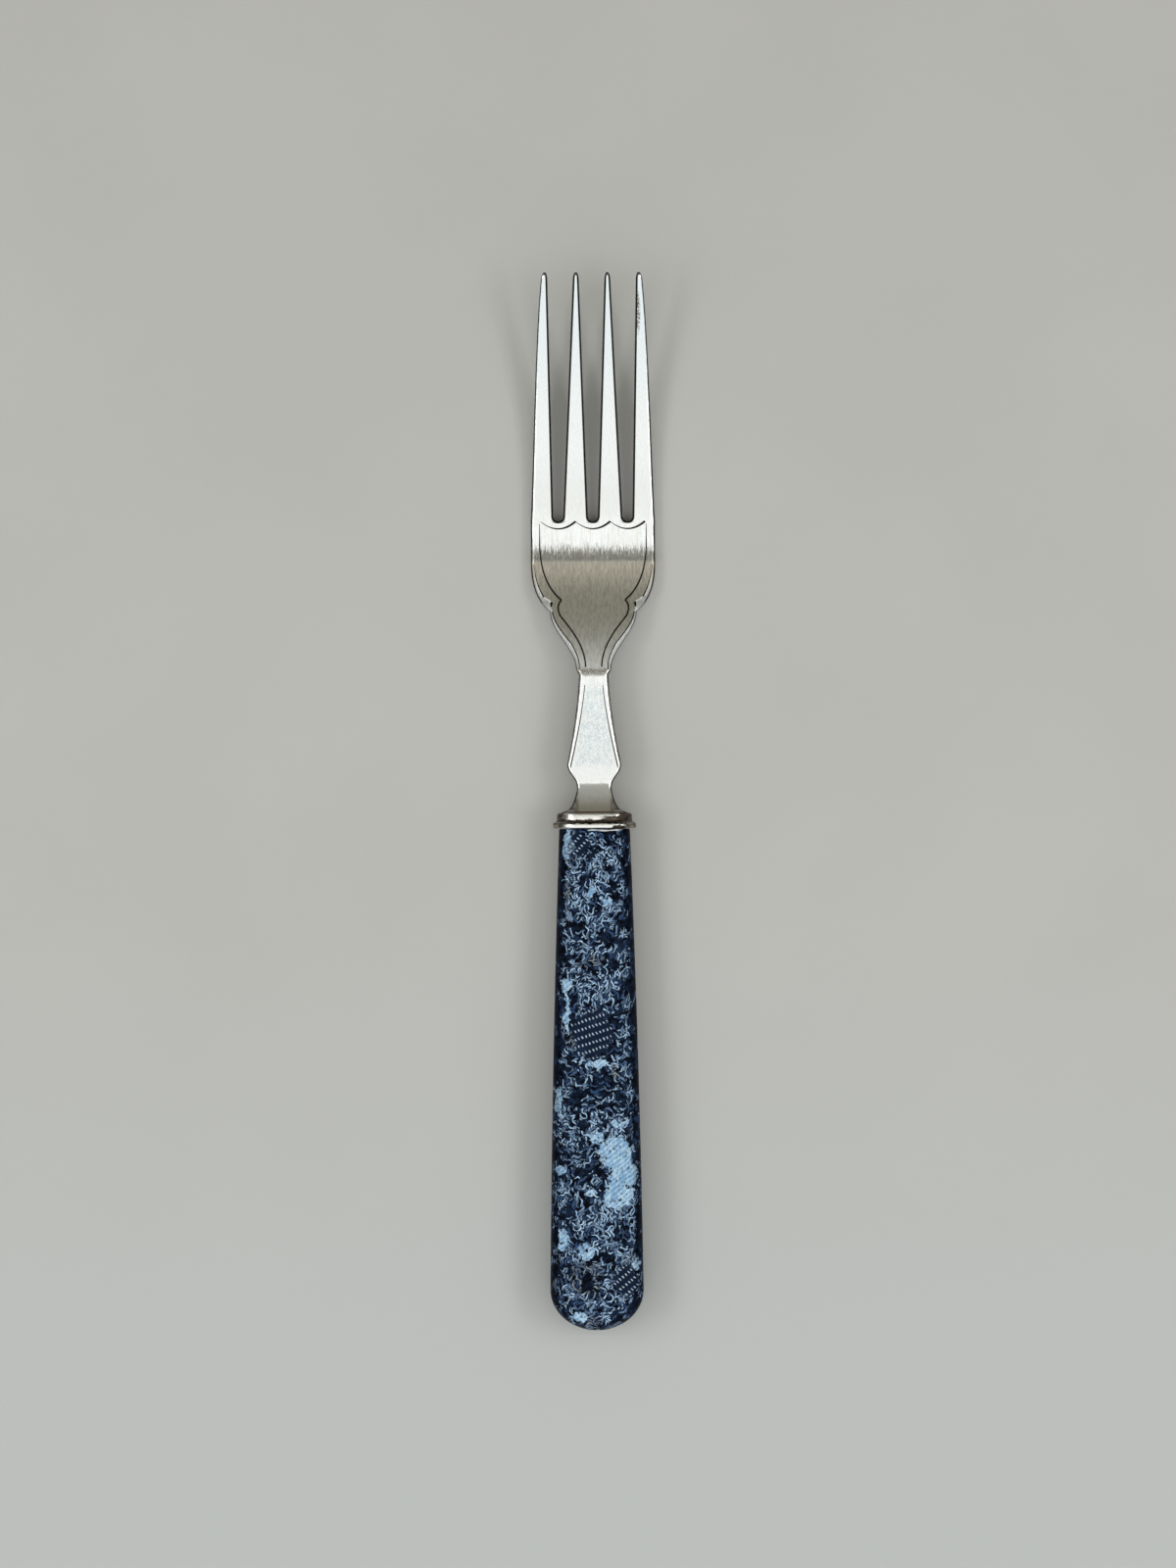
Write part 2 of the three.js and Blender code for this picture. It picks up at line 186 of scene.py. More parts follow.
# Steps that round forms are drawn with, limits of their corners, and how meshes are joined and shaded
CURVE_STEPS = 60
CORNER_STEPS = 10
BEAD_STEPS = 16
BUTT_STEPS = 24
BOW_STEPS = 24
RIM_STEPS = 4
EDGE_STEPS = 3
FACE_COLUMNS = 6
ROW_LENGTH = 0.5 * MM
TINE_ROW_LENGTH = 1.0 * MM
SLOT_ROOT_STEPS = 8
GRAVER_SIDES = 8
EDGE_LIMIT = 0.45
CORNER_LIMIT = 0.95
TINY = 1e-9
WELD = 0.0005 * MM
SHARP_ANGLE = math.radians(32)

# Colours, as linear light
COOL_METAL = (0.78, 0.82, 0.84)
WARM_METAL = (0.84, 0.85, 0.83)
# Painted reflections: the tines paler and bluer, and the tips bluer still, as if reflecting the cool light in
# front
PALE_TINE_REFLECTION = (0.87, 0.91, 0.92)
BLUE_TIP_REFLECTION = (0.75, 0.85, 0.92)
# Painted highlight: a warm bright band where the strip lamp reflects in the blade
PAINTED_HIGHLIGHT_METAL = (0.97, 0.93, 0.83)
PANEL_METAL = (0.52, 0.61, 0.66)
# Dark streaks where the blade bends: painted dark reflection of the turning surface, broken up by brush marks
STREAK_METAL = (0.35, 0.35, 0.325)
# Dull grey metal: its own tone on specks and the rough neck, painted shade on the lower blade and the foot,
# and painted dark reflection on the ferrule's ends
DULL_AND_SHADED_METAL = (0.42, 0.4, 0.36)
# Brown of tarnish, also painted as shade and dark reflection on the foot's flare, the tips, the bolster and
# the ferrule's ends
BROWN_TARNISH_AND_SHADE = (0.14, 0.115, 0.09)
# Near black of the tarnish in the engraved lines, also painted on the slots' walls and outer edges as shade
# and dark reflection
LINE_BROWN = (0.035, 0.028, 0.022)
LINE_BLACK = (0.006, 0.005, 0.004)
# Near black of the bolster's painted shade and dark reflection, mixed with tarnish
BOLSTER_BLACK = (0.04, 0.033, 0.027)
# Black of the ferrule: painted shade next to the bolster, and its nick
FERRULE_BLACK = (0.03, 0.025, 0.02)
RESIN_BLACK = (0.002, 0.003, 0.007)
RESIN_NAVY = (0.009, 0.019, 0.044)
THREAD_BLUE = (0.034, 0.072, 0.17)
THREAD_PALE = (0.47, 0.69, 0.96)
THREAD_GREY = (0.27, 0.33, 0.38)
SCRAP_BLUE = (0.2, 0.38, 0.62)
SCRAP_PALE = (0.5, 0.7, 0.88)
SCRAP_FLECK = (0.05, 0.09, 0.18)
TWILL_WHITE = (0.5, 0.62, 0.8)
# Cement's colours; the pale bead along the front of the joint also stands as a painted highlight
CEMENT_DULL = (0.5, 0.52, 0.52)
CEMENT_PALE = (0.82, 0.84, 0.84)
FLOOR_DULL = (0.55, 0.552, 0.538)
FLOOR_PALE = (0.57, 0.572, 0.558)
# Painted cool light on the floor's front part
FLOOR_COOL_LIGHT = (0.555, 0.582, 0.58)
PALE_WALL = (0.43, 0.42, 0.385)
DIM_WALL = (0.265, 0.252, 0.198)
LOW_SIDE_WALL = (0.05, 0.048, 0.045)

# Marks on the head's metal, in millimetres: where along Y, or across X for a side, each is absent, then full
# Where the painted dark streaks of the bend begin and fade
BEND_LOW = (43.0, 43.8)
BEND_HIGH = (46.8, 45.0)
BEND_FADE = (46.4, 43.0)
LOWER_BLADE_LOW = (23.4, 23.8)
LOWER_BLADE_HIGH = (43.4, 42.6)
# Where the painted highlight lies on the lower blade
PAINTED_HIGHLIGHT_BAND = (36, 41)
MATT_NECK = (36, 23)
ROUGH_LOW = (22.5, 22.7)
ROUGH_HIGH = (24.2, 23.5)
COOL_PANEL_LOW = (5.4, 7.4)
COOL_PANEL_HIGH = (22.0, 19.0)
COOL_PANEL_SIDE = (4.9, 3.9)
COOL_PANEL_TAPER = 0.138
# The foot darkened towards the bolster as painted shade of its rising face
SHADED_FOOT = (2.5, -1.5)
# The foot's flaring sides, darkened as painted shade mixed with tarnish
FLARE_HIGH = (1.2, 0.0)
FLARE_SIDE = (2.5, 3.3)
# Where the painted paler tines and bluer tips begin and are full
PALE_TINES = (52, 64)
BLUE_TIPS = (62, 90)

# Dark marks on the head, in millimetres: up from the tips, where tarnish and painted dark reflection darken
# their rounded ends, up from the foot, where it darkens against the bolster, and a stain's centre and half
# sizes
TIP_TARNISH_AND_SHADE = (-0.8, -0.3)
SEAM_DARKENING = (0.3, 0.1)
TINE_STAIN = (8.2, 87.0, 0.4, 3.4)
SPOT_FADE = (1.4, 0.6)

# Dark marks on the collar, in millimetres across X and up from each piece's own lower end: painted shade with
# tarnish below the bolster's round, painted dark reflection with tarnish at its ends, tarnish over its lower
# right; on the ferrule painted shade towards the bolster, painted dark reflection with tarnish at its ends,
# and a black nick
BOLSTER_LOW = (0.75, 0.45)
BOLSTER_LEFT = (-4.8, -5.6)
BOLSTER_RIGHT = (4.0, 4.8)
LOWER_RIGHT_SIDE = (0.8, 2.4)
LOWER_RIGHT_HIGH = (1.3, 1.0)
FERRULE_UPPER = (0.72, 0.9)
FERRULE_ENDS = (5.0, 6.2)
FERRULE_NICK = (4.4, 0.1, 1.4, 0.5)

# Denim, in millimetres of the frame: spots are a centre and two half sizes
BACK_SHIFT = 57.0
BACK_CROOK = 3.0
FLAT_HALF = 4.0
SIDE_UNROLL = 4.7
SIDE_SLIP = 0.7
FRONT_RISE = (1.5, 2.5)
LOW_HANDLE = (-50, -62)
SCRAP_SIZE = 4.0
BUNDLE_SIZE = 4.0
THREAD_SPACING = 1.2
THREAD_STRETCH = 2.0
THREAD_REACH = 0.8
THREAD_LEAN = 0.9
THREAD_SWAY = 0.23
SWAY_RATE = 3.4
SWAY_PHASES = 40
THREAD_TAPER = 0.12
THREAD_HALF_WIDTH = 0.22
THREAD_SHADE = 0.44
THREAD_LAYERS = 6
LAYER_SHIFT = 7.3
PALE_SCRAPS = [
    (3.3, -62.4, 2.9, 2.7),
    (5.0, -66.2, 2.3, 2.6),
    (3.9, -69.9, 2.6, 2.3),
    (-4.9, -7.6, 1.0, 2.7),
    (-0.8, -15.9, 0.9, 1.0),
    (2.2, -17.7, 1.1, 0.8),
    (-5.3, -32.6, 0.9, 1.2),
    (-5.0, -37.5, 0.4, 4.0),
    (-6.6, -53.0, 0.8, 2.8),
    (0.3, -46.5, 1.6, 0.9),
    (0.0, -59.6, 1.2, 1.2),
    (3.9, -56.9, 1.8, 0.6),
    (-5.9, -77.7, 1.0, 1.9),
    (-1.8, -79.7, 1.3, 1.4),
    (-1.3, -69.5, 0.8, 0.9),
    (-3.1, -91.5, 1.6, 1.0),
    (6.7, -82.3, 0.9, 0.9),
    (-6.4, -65.4, 0.8, 1.0),
]
DARK_SCRAPS = [
    (-3.6, -52.8, 2.3, 1.6),
    (3.6, -27.0, 2.0, 3.2),
    (-1.0, -65.7, 2.5, 1.6),
    (6.0, -90.0, 2.0, 1.6),
]
GREY_SCRAP = (-2.0, -84.5, 3.0, 3.2)
TWILL_SCRAPS = [
    ((-0.7, -41.3, 3.5, 4.2), math.radians(-18)),
    ((5.3, -85.2, 2.0, 3.0), math.radians(-40)),
    ((-2.8, -7.5, 1.8, 2.0), math.radians(-46)),
]
TWILL_PITCH = 0.66
TWILL_ROW = 1.36
TWILL_LEAN = 0.25
RIB_PITCH = 0.7
RIB_TILT = math.radians(-40)

# Lamps: name, size along X and Y, place, colour and radiance
LAMPS = [
    ("overhead_softbox", 2.0, 0.8, (0, -0.31, 0.8), (1, 1, 0.99), 0.61),
    ("front_softbox", 2.0, 2.3, (0, -1.86, 0.8), (0.94, 1, 1.06), 0.74),
    ("bright_strip", 2.0, 0.06, (0, 0.06, 0.79), (1, 1, 0.97), 0.42),
    ("side_lamp", 0.3, 0.5, (-0.55, 0, 0.7), (1, 1, 1), 3.0),
    ("side_lamp", 0.3, 0.5, (0.55, 0, 0.7), (1, 1, 1), 3.0),
]

# Floor's half size, where a painted cool light on its front part turns in along Y in millimetres, and where
# the walls change, by direction
FLOOR_HALF = 1.5
FLOOR_TURN = (0, -130)
WALL_TURN = (0.25, 0.58)
LOW_SIDE = (0.4, 0.7)
LOW_HEIGHT = (0.45, 0.3)

# Camera straight above the fork, with the photograph's slight lean
SENSOR = 36
CAMERA_HEIGHT = 2.0
CAMERA_REACH = 10
FIELD_LENGTH = 279.2 * MM
CAMERA_X = -1.12 * MM
CAMERA_Y = 3.18 * MM
CAMERA_ROLL = -0.0055

# Places along Y and the height of the fork's axis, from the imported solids
handle_low, handle_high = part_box("handle")
ferrule_low, ferrule_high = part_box("ferrule")
head_low, head_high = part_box("fork_head")
axis_height = (ferrule_low.z + ferrule_high.z) / 2
y_butt = handle_low.y
y_butt_start = y_butt + BUTT_ROUND_LENGTH
y_handle = handle_high.y
y_ferrule = ferrule_low.y
ferrule_length = ferrule_high.y - ferrule_low.y
y_bolster = ferrule_high.y + SEAT_GAP
y_foot = y_bolster + BOLSTER_LENGTH
y_waist = y_foot + FOOT_LENGTH
y_panel = y_waist + SCOTIA_LENGTH
y_neck = y_panel + PANEL_LENGTH
y_neck_step = y_neck + NECK_STEP
y_lobe = y_neck + LOWER_BLADE_LENGTH
y_notch = y_lobe + NOTCH_RISE
y_shoulder = y_lobe + SHOULDER_LENGTH
y_tip = head_high.y
y_root = y_tip - TINE_LENGTH
y_belly = y_root - BELLY_SETBACK
y_tang_tip = head_low.y

# Half widths of the blade and the row of tips, and the middle slot's number
blade_half = head_high.x
tip_half = (TINE_COUNT - 1) / 2 * TIP_PITCH + (TIP_PITCH - SLOT_TIP_WIDTH) / 2
middle_slot = (TINE_COUNT - 2) / 2


def lerp(start, end, share):
    return start + (end - start) * share


def bezier(*points):
    """Points along the curve that a start, one or two handles and an end make."""
    share = np.linspace(0, 1, CURVE_STEPS + 1)[:, None]
    level = [np.array(p, float) for p in points]
    while len(level) > 1:
        level = [a + (b - a) * share for a, b in zip(level, level[1:])]
    return level[0]


def across(path, y):
    """The first coordinate of a path where it passes a given y."""
    return float(np.interp(y, path[:, 1], path[:, 0]))


# The head's outline, side view and bevels

def outline_path():
    """Half of the head's outline seen from above, from the bolster to the tips."""
    foot = HANDLE_TOP_WIDTH / 2 + BOLSTER_OVERHANG - BOLSTER_LENGTH / 2
    waist = WAIST_WIDTH / 2
    panel = PANEL_WIDTH / 2
    neck = NECK_WIDTH / 2
    blade_root = BLADE_ROOT_WIDTH / 2
    lobe = LOBE_WIDTH / 2
    return np.vstack([
        bezier((foot, y_foot), (lerp(waist, foot, FOOT_EASE), y_foot), (waist, y_waist)),
        bezier(
            (waist, y_waist), (waist, lerp(y_waist, y_panel, SCOTIA_EASE)),
            (lerp(panel, waist, SCOTIA_LIP), lerp(y_panel, y_waist, SCOTIA_EASE)), (panel, y_panel),
        ),
        bezier(
            (panel, y_panel), (lerp(neck, panel, PANEL_SWELL), lerp(y_panel, y_neck, PANEL_EASE)),
            (neck, y_neck),
        ),
        bezier(
            (blade_root, y_neck_step), (blade_root, lerp(y_neck_step, y_lobe, LOBE_EASE)),
            (lobe, lerp(y_lobe, y_neck_step, LOBE_EASE)), (lobe, y_lobe),
        ),
        bezier(
            (lobe, y_lobe), (blade_half, lerp(y_lobe, y_shoulder, SHOULDER_EASE)), (blade_half, y_shoulder),
        ),
        bezier(
            (blade_half, y_root), (lerp(blade_half, tip_half, TINE_TUCK), lerp(y_root, y_tip, TINE_EASE)),
            (lerp(blade_half, tip_half, TINE_SWELL), lerp(y_tip, y_root, TINE_EASE)), (tip_half, y_tip),
        ),
    ])


def profile_path(side, neck_drop, belly_height, tip_height):
    """Side view of the upper or the lower face: foot, level neck, belly and rising tines."""
    foot = axis_height + side * (HANDLE_TOP_THICKNESS / 2 + BOLSTER_OVERHANG - BOLSTER_LENGTH / 2)
    neck = axis_height + side * NECK_THICKNESS / 2
    reach = BELLY_EASE * (y_tip - y_belly)
    return np.vstack([
        bezier((foot, y_foot), (lerp(neck, foot, FOOT_RISE), y_foot), (neck, y_waist + FOOT_RUN_OUT)),
        bezier(
            (neck, y_neck), (lerp(neck, belly_height, neck_drop), lerp(y_neck, y_belly, BELLY_EASE)),
            (belly_height, lerp(y_belly, y_neck, BELLY_EASE)), (belly_height, y_belly),
        ),
        bezier(
            (belly_height, y_belly), (belly_height, y_belly + reach),
            (tip_height - TIP_SLOPE * reach, y_tip - reach), (tip_height, y_tip),
        ),
    ])


outline = outline_path()
upper_face = profile_path(1, NECK_DROP, BLADE_THICKNESS, TIP_HEIGHT)
lower_face = profile_path(-1, 0, 0, TIP_HEIGHT - TIP_THICKNESS)
bevels = np.array([
    (FOOT_BEVEL, y_foot),
    (WAIST_BEVEL, y_foot + FOOT_LIP),
    (WAIST_BEVEL, y_waist),
    (PANEL_BEVEL, y_panel),
    (NECK_BEVEL, y_neck),
    (NECK_BEVEL, y_neck_step),
    (LOWER_BLADE_BEVEL, (y_neck + y_lobe) / 2),
    (LOBE_BEVEL, y_lobe),
    (NOTCH_BEVEL, y_notch),
    (SHOULDER_BEVEL, y_notch + NOTCH_MOUTH),
    (SIDE_BEVEL, y_shoulder),
    (SIDE_BEVEL, y_root),
    (TIP_BEVEL, y_tip),
])


def head_section(y):
    """The head's section at y: half width, the flat face's half width, and four heights."""
    half = across(outline, y)
    bevel = across(bevels, y)
    top = across(upper_face, y)
    bottom = across(lower_face, y)
    fall = bevel * BEVEL_SLOPE
    return SimpleNamespace(
        half=half, face=half - bevel, top=top, upper=top - fall, lower=bottom + fall, bottom=bottom,
    )


# Mesh helpers

def rounded(corners, cuts):
    """A path's inner corners, each drawn as a short curve that starts and ends its own cut away from it."""
    points = []
    for before, corner, after, cut in zip(corners, corners[1:], corners[2:], cuts):
        middle = Vector(corner)
        ends = []
        for neighbour in (before, after):
            arm = Vector(neighbour) - middle
            ends.append(middle + arm * min(cut / max(arm.length, TINY), EDGE_LIMIT))
        for step in range(EDGE_STEPS + 1):
            share = step / EDGE_STEPS
            points.append(tuple(lerp(lerp(ends[0], middle, share), lerp(middle, ends[1], share), share)))
    return points


def rounded_ring(half_width, half_height, radius, y):
    """A rectangle with round corners, the radius limited by the section itself."""
    r = min(radius, CORNER_LIMIT * half_width, CORNER_LIMIT * half_height)
    ring = []
    for corner, (side_x, side_z) in enumerate([(-1, 1), (1, 1), (1, -1), (-1, -1)]):
        for step in range(CORNER_STEPS + 1):
            angle = math.pi - (corner + step / CORNER_STEPS) * math.pi / 2
            x = side_x * (half_width - r) + r * math.cos(angle)
            z = side_z * (half_height - r) + r * math.sin(angle)
            ring.append((x, y, axis_height + z))
    return ring


def loft(rings, closed=False):
    """A mesh that joins each ring to the next; closed joins the last to the first, and open is capped."""
    mesh = bmesh.new()
    rows = [[mesh.verts.new(p) for p in ring] for ring in rings]
    pairs = list(zip(rows, rows[1:]))
    if closed:
        pairs.append((rows[-1], rows[0]))
    else:
        mesh.faces.new(rows[0][::-1])
        mesh.faces.new(rows[-1])
    for low, high in pairs:
        for i in range(len(low)):
            j = (i + 1) % len(low)
            mesh.faces.new((low[i], low[j], high[j], high[i]))
    bmesh.ops.recalc_face_normals(mesh, faces=mesh.faces)
    return mesh


def to_data(name, mesh, *materials):
    """Blender's own mesh from a bmesh, with its materials."""
    data = bpy.data.meshes.new(name)
    mesh.to_mesh(data)
    mesh.free()
    for material in materials:
        data.materials.append(material)
    return data


def to_object(data):
    """An object named like its data."""
    thing = bpy.data.objects.new(data.name, data)
    bpy.context.scene.collection.objects.link(thing)
    return thing


def to_piece(data):
    """A shown object that rides on the fork."""
    data.shade_smooth()
    data.set_sharp_from_angle(angle=SHARP_ANGLE)
    piece = to_object(data)
    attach(piece, "root")
    return piece


# Head

def slot_centre(slot, y):
    """A slot's centre line; below the root it runs on down the blade in step with the outline."""
    along = max(0, (y - y_root) / TINE_LENGTH)
    spread = 1 if y >= y_root else head_section(y).face / head_section(y_root).face
    return (slot - middle_slot) * lerp(SLOT_PITCH, TIP_PITCH, along) * spread


def slot_half(y, inset):
    """Half the slot's width at y, measured on a line that runs inset outside its wall."""
    rise = y - (y_root - inset)
    if rise <= 0:
        return 0
    short = max(0, 1 - rise / (SLOT_ROOT_WIDTH / 2 + inset))
    along = max(0, (y - y_root) / TINE_LENGTH)
    return (lerp(SLOT_ROOT_WIDTH, SLOT_TIP_WIDTH, along) / 2 + inset) * math.sqrt(1 - short ** 2)


def rim(step):
    """How far outside a slot's wall, and how far below the face, a line on its rounded rim lies."""
    angle = math.pi / 2 * step / RIM_STEPS
    return SLOT_RIM * (1 - math.sin(angle)), SLOT_RIM * (1 - math.cos(angle))


def rim_depth(y):
    """How deep the rim is on the slot's centre line at y."""
    share = min(max((y - y_root) / SLOT_RIM + 1, 0), 1)
    return SLOT_RIM * (1 - math.sqrt(1 - share ** 2))


def slot_edge(slot, side, y):
    """A tine's edge along a slot: the upper rim down to the wall, then the lower rim."""
    section = head_section(y)
    centre = slot_centre(slot, y)
    upper = []
    lower = []
    for step in range(RIM_STEPS + 1):
        inset, depth = rim(step)
        x = centre + side * slot_half(y, inset)
        depth = min(depth, rim_depth(y))
        upper.append((x, section.top - depth))
        lower.append((x, section.bottom + depth))
    return upper + lower[::-1]


def outer_edge(side, y):
    """The head's outer edge: over the bevel, down the side and under it."""
    s = head_section(y)
    corners = [
        (0, s.top), (s.face, s.top), (s.half, s.upper), (s.half, s.lower), (s.face, s.bottom), (0, s.bottom),
    ]
    outer_cut = OUTER_SOFTNESS if y > y_notch else EDGE_SOFTNESS
    cuts = [EDGE_SOFTNESS, outer_cut, EDGE_SOFTNESS, EDGE_SOFTNESS]
    return [(side * x, z) for x, z in rounded(corners, cuts)]


def between(start, end):
    """Evenly spaced points of a flat face, without its ends."""
    shares = [(i + 1) / (FACE_COLUMNS + 1) for i in range(FACE_COLUMNS)]
    return [(lerp(start[0], end[0], t), lerp(start[1], end[1], t)) for t in shares]


def tine_ring(tine, y):
    """The section of one tine, and below the slots of the strip of blade that it grows from."""
    left = outer_edge(-1, y) if tine == 0 else slot_edge(tine - 1, 1, y)
    right = outer_edge(1, y) if tine == TINE_COUNT - 1 else slot_edge(tine, -1, y)
    ring = left[::-1] + between(left[0], right[0]) + right + between(right[-1], left[-1])
    past = max(0, 1 - (y_tip - y) / TIP_ROUND_LENGTH)
    kept = math.sqrt(1 - (1 - TIP_BLUNTNESS ** 2) * past ** 2)
    middle_x = (left[0][0] + right[0][0]) / 2
    middle_z = (left[0][1] + left[-1][1]) / 2
    return [(lerp(middle_x, x, kept), y, lerp(middle_z, z, kept)) for x, z in ring]


def rows_through(stops, row_length):
    """Evenly spaced rows that pass through every stop."""
    ordered = sorted(set(stops))
    rows = [ordered[0]]
    for start, stop in zip(ordered, ordered[1:]):
        steps = max(1, round((stop - start) / row_length))
        rows += [lerp(start, stop, k / steps) for k in range(1, steps + 1)]
    return rows


def head_rows():
    """Rows along the head: even ones, with closer ones round the slots' roots and the tips."""
    bends = [y for y in bevels[:, 1] if y < y_root]
    blade_rows = rows_through([*bends, y_belly, y_root - SLOT_RIM], ROW_LENGTH)
    turns = [math.pi / 2 * turn / SLOT_ROOT_STEPS for turn in range(SLOT_ROOT_STEPS + 1)]
    rises = [1 - math.cos(turn) for turn in turns]
    root_rows = []
    for step in range(RIM_STEPS + 1):
        inset = rim(step)[0]
        root_rows += [y_root - inset + (SLOT_ROOT_WIDTH / 2 + inset) * rise for rise in rises]
    tip_rows = [y_tip - TIP_ROUND_LENGTH * rise for rise in rises]
    tine_rows = rows_through([max(root_rows), min(tip_rows)], TINE_ROW_LENGTH)
    return sorted({round(y, 8) for y in [*blade_rows, *root_rows, *tine_rows, *tip_rows]})


def add_strip(mesh, tine, rows):
    """One tine with its strip of blade. Its slots' faces and upper outer edge take the second material, whose
    near black is painted shade and painted dark reflection there.
    """
    rings = [[mesh.verts.new(p) for p in tine_ring(tine, y)] for y in rows]
    slot_count = 2 * (RIM_STEPS + 1)
    corner_count = EDGE_STEPS + 1
    left_count = 4 * corner_count if tine == 0 else slot_count
    right_start = left_count + FACE_COLUMNS
    slots = []
    edges = []
    if tine == 0:
        edges.append(2 * corner_count)
    else:
        slots.append(0)
    if tine == TINE_COUNT - 1:
        edges.append(right_start + corner_count)
    else:
        slots.append(right_start)
    count = len(rings[0])
    for row, (low, high) in enumerate(zip(rings, rings[1:])):
        for i in range(count):
            j = (i + 1) % count
            on_slot = [start for start in slots if start <= i < start + slot_count - 1]
            on_edge = [start for start in edges if start <= i < start + EDGE_STEPS]
            if on_slot and i == on_slot[0] + RIM_STEPS and rows[row] < y_root - TINY:
                continue
            face = mesh.faces.new((low[i], low[j], high[j], high[i]))
            # Slot walls and the upper outer edge take the near-black second material as painted shade and
            # painted dark reflection
            face.material_index = 1 if on_slot or on_edge else 0
    mesh.faces.new(rings[-1])


def head_sheet():
    """Blade and tines as one closed sheet that starts inside the bolster."""
    mesh = bmesh.new()
    rows = head_rows()
    for tine in range(TINE_COUNT):
        add_strip(mesh, tine, rows)
    bmesh.ops.remove_doubles(mesh, verts=mesh.verts, dist=WELD)
    bmesh.ops.dissolve_degenerate(mesh, edges=mesh.edges, dist=WELD)
    rim_edges = [e for e in mesh.edges if e.is_boundary]
    start = bmesh.ops.extrude_edge_only(mesh, edges=rim_edges)["geom"]
    start_verts = [v for v in start if isinstance(v, bmesh.types.BMVert)]
    bmesh.ops.translate(mesh, verts=start_verts, vec=(0, -BOLSTER_LENGTH / 2, 0))
    bmesh.ops.holes_fill(mesh, edges=[e for e in mesh.edges if e.is_boundary])
    bmesh.ops.recalc_face_normals(mesh, faces=mesh.faces)
    return mesh


def face_edge(start, end):
    """A path along the edge of the flat face, between two places along Y."""
    return np.array([(head_section(y).face, y) for y in np.linspace(start, end, CURVE_STEPS + 1)])


def drawn(line):
    """The path of an engraved line's curves, in metres."""
    return np.vstack([bezier(*curve) for curve in line]) * MM


def engraved_lines():
    """The graver's paths as points of x, y and width: on the blade, on the neck and under each slot."""
    half = [
        (drawn(SIDE_LINE), 0.3, 1.0), (drawn(TAIL_LINE), 1.0, 0.8),
        (drawn(PANEL_LINE), 0.35, 0.65), (drawn(PIT_LINE), 1.5, 0.9),
        (face_edge(y_neck_step, y_lobe), 0.6, 0.8),
        (face_edge(y_notch + NOTCH_MOUTH, y_shoulder), 0.8, 0.3),
    ]
    paths = [(path * (sign, 1), start, end) for sign in (-1, 1) for path, start, end in half]
    for slot in range(TINE_COUNT - 1):
        centre = slot_centre(slot, y_root)
        scallop = bezier(
            (centre - SCALLOP_REACH, y_root), (centre, y_root - 2 * SCALLOP_SAG),
            (centre + SCALLOP_REACH, y_root),
        )
        paths.append((scallop, 0.3, 1.2))
    lines = []
    for path, start, end in paths:
        widths = np.linspace(start, end, len(path)) * LINE_WIDTH
        lines.append([(x, y, width) for (x, y), width in zip(path, widths)])
    return lines


def graver_cut(line):
    """The swept bit of a graver that follows one engraved line."""
    rings = []
    for i, (x, y, width) in enumerate(line):
        before = Vector(line[max(i - 1, 0)][:2])
        after = Vector(line[min(i + 1, len(line) - 1)][:2])
        along = (after - before).normalized()
        radius = width / 2 / math.sqrt(1 - (1 - LINE_DEPTH_SHARE) ** 2)
        height = across(upper_face, y) + radius * (1 - LINE_DEPTH_SHARE)
        ring = []
        for step in range(GRAVER_SIDES):
            angle = 2 * math.pi * step / GRAVER_SIDES
            sideways = radius * math.cos(angle)
            ring.append((x - along.y * sideways, y + along.x * sideways, height + radius * math.sin(angle)))
        rings.append(ring)
    return loft(rings)


def engrave(sheet, tarnished_and_shaded):
    """The sheet's mesh with every engraved line cut out of it."""
    cuts = []
    for i, line in enumerate(engraved_lines()):
        cuts.append(to_object(to_data(f"graver_{i}", graver_cut(line), tarnished_and_shaded)))
    for cut in cuts:
        modifier = sheet.modifiers.new(cut.name, "BOOLEAN")
        modifier.operation = "DIFFERENCE"
        modifier.solver = "EXACT"
        modifier.material_mode = "TRANSFER"
        modifier.object = cut
    evaluated = sheet.evaluated_get(bpy.context.evaluated_depsgraph_get())
    data = bpy.data.meshes.new_from_object(evaluated)
    data.name = "fork_head_forging"
    for thing in (sheet, *cuts):
        bpy.data.objects.remove(thing)
    return data


def collar_ring(grow, y):
    """A ring that stands proud of the handle's top section by the same length all round."""
    return rounded_ring(
        HANDLE_TOP_WIDTH / 2 + grow, HANDLE_TOP_THICKNESS / 2 + grow, HANDLE_CORNER_RADIUS + grow, y,
    )


def ferrule_rings():
    """The ferrule's round edge, squarer the fuller it is."""
    rings = []
    for step in range(BEAD_STEPS + 1):
        climb = math.sin(math.pi * (step / BEAD_STEPS - 0.5))
        crown = (1 - abs(climb) ** FERRULE_FULLNESS) ** (1 / FERRULE_FULLNESS)
        grow = FERRULE_OVERHANG - ferrule_length / 2 * (1 - crown)
        rings.append(collar_ring(grow, y_ferrule + ferrule_length / 2 * (1 + climb)))
    return rings


def bolster_rings():
    """The bolster: a hollow lip that meets the ferrule, an upright side and a broadly rounded top edge."""
    lip = []
    top = []
    for step in range(BEAD_STEPS + 1):
        angle = math.pi / 2 * step / BEAD_STEPS
        lip_grow = BOLSTER_OVERHANG + BOLSTER_LIP * (1 - math.sin(angle))
        lip.append(collar_ring(lip_grow, y_bolster + BOLSTER_LIP_HEIGHT * (1 - math.cos(angle))))
        top_grow = BOLSTER_OVERHANG - BOLSTER_ROUND_WIDTH * (1 - math.cos(angle))
        top.append(collar_ring(top_grow, y_foot - BOLSTER_ROUND_HEIGHT * (1 - math.sin(angle))))
    return lip + top


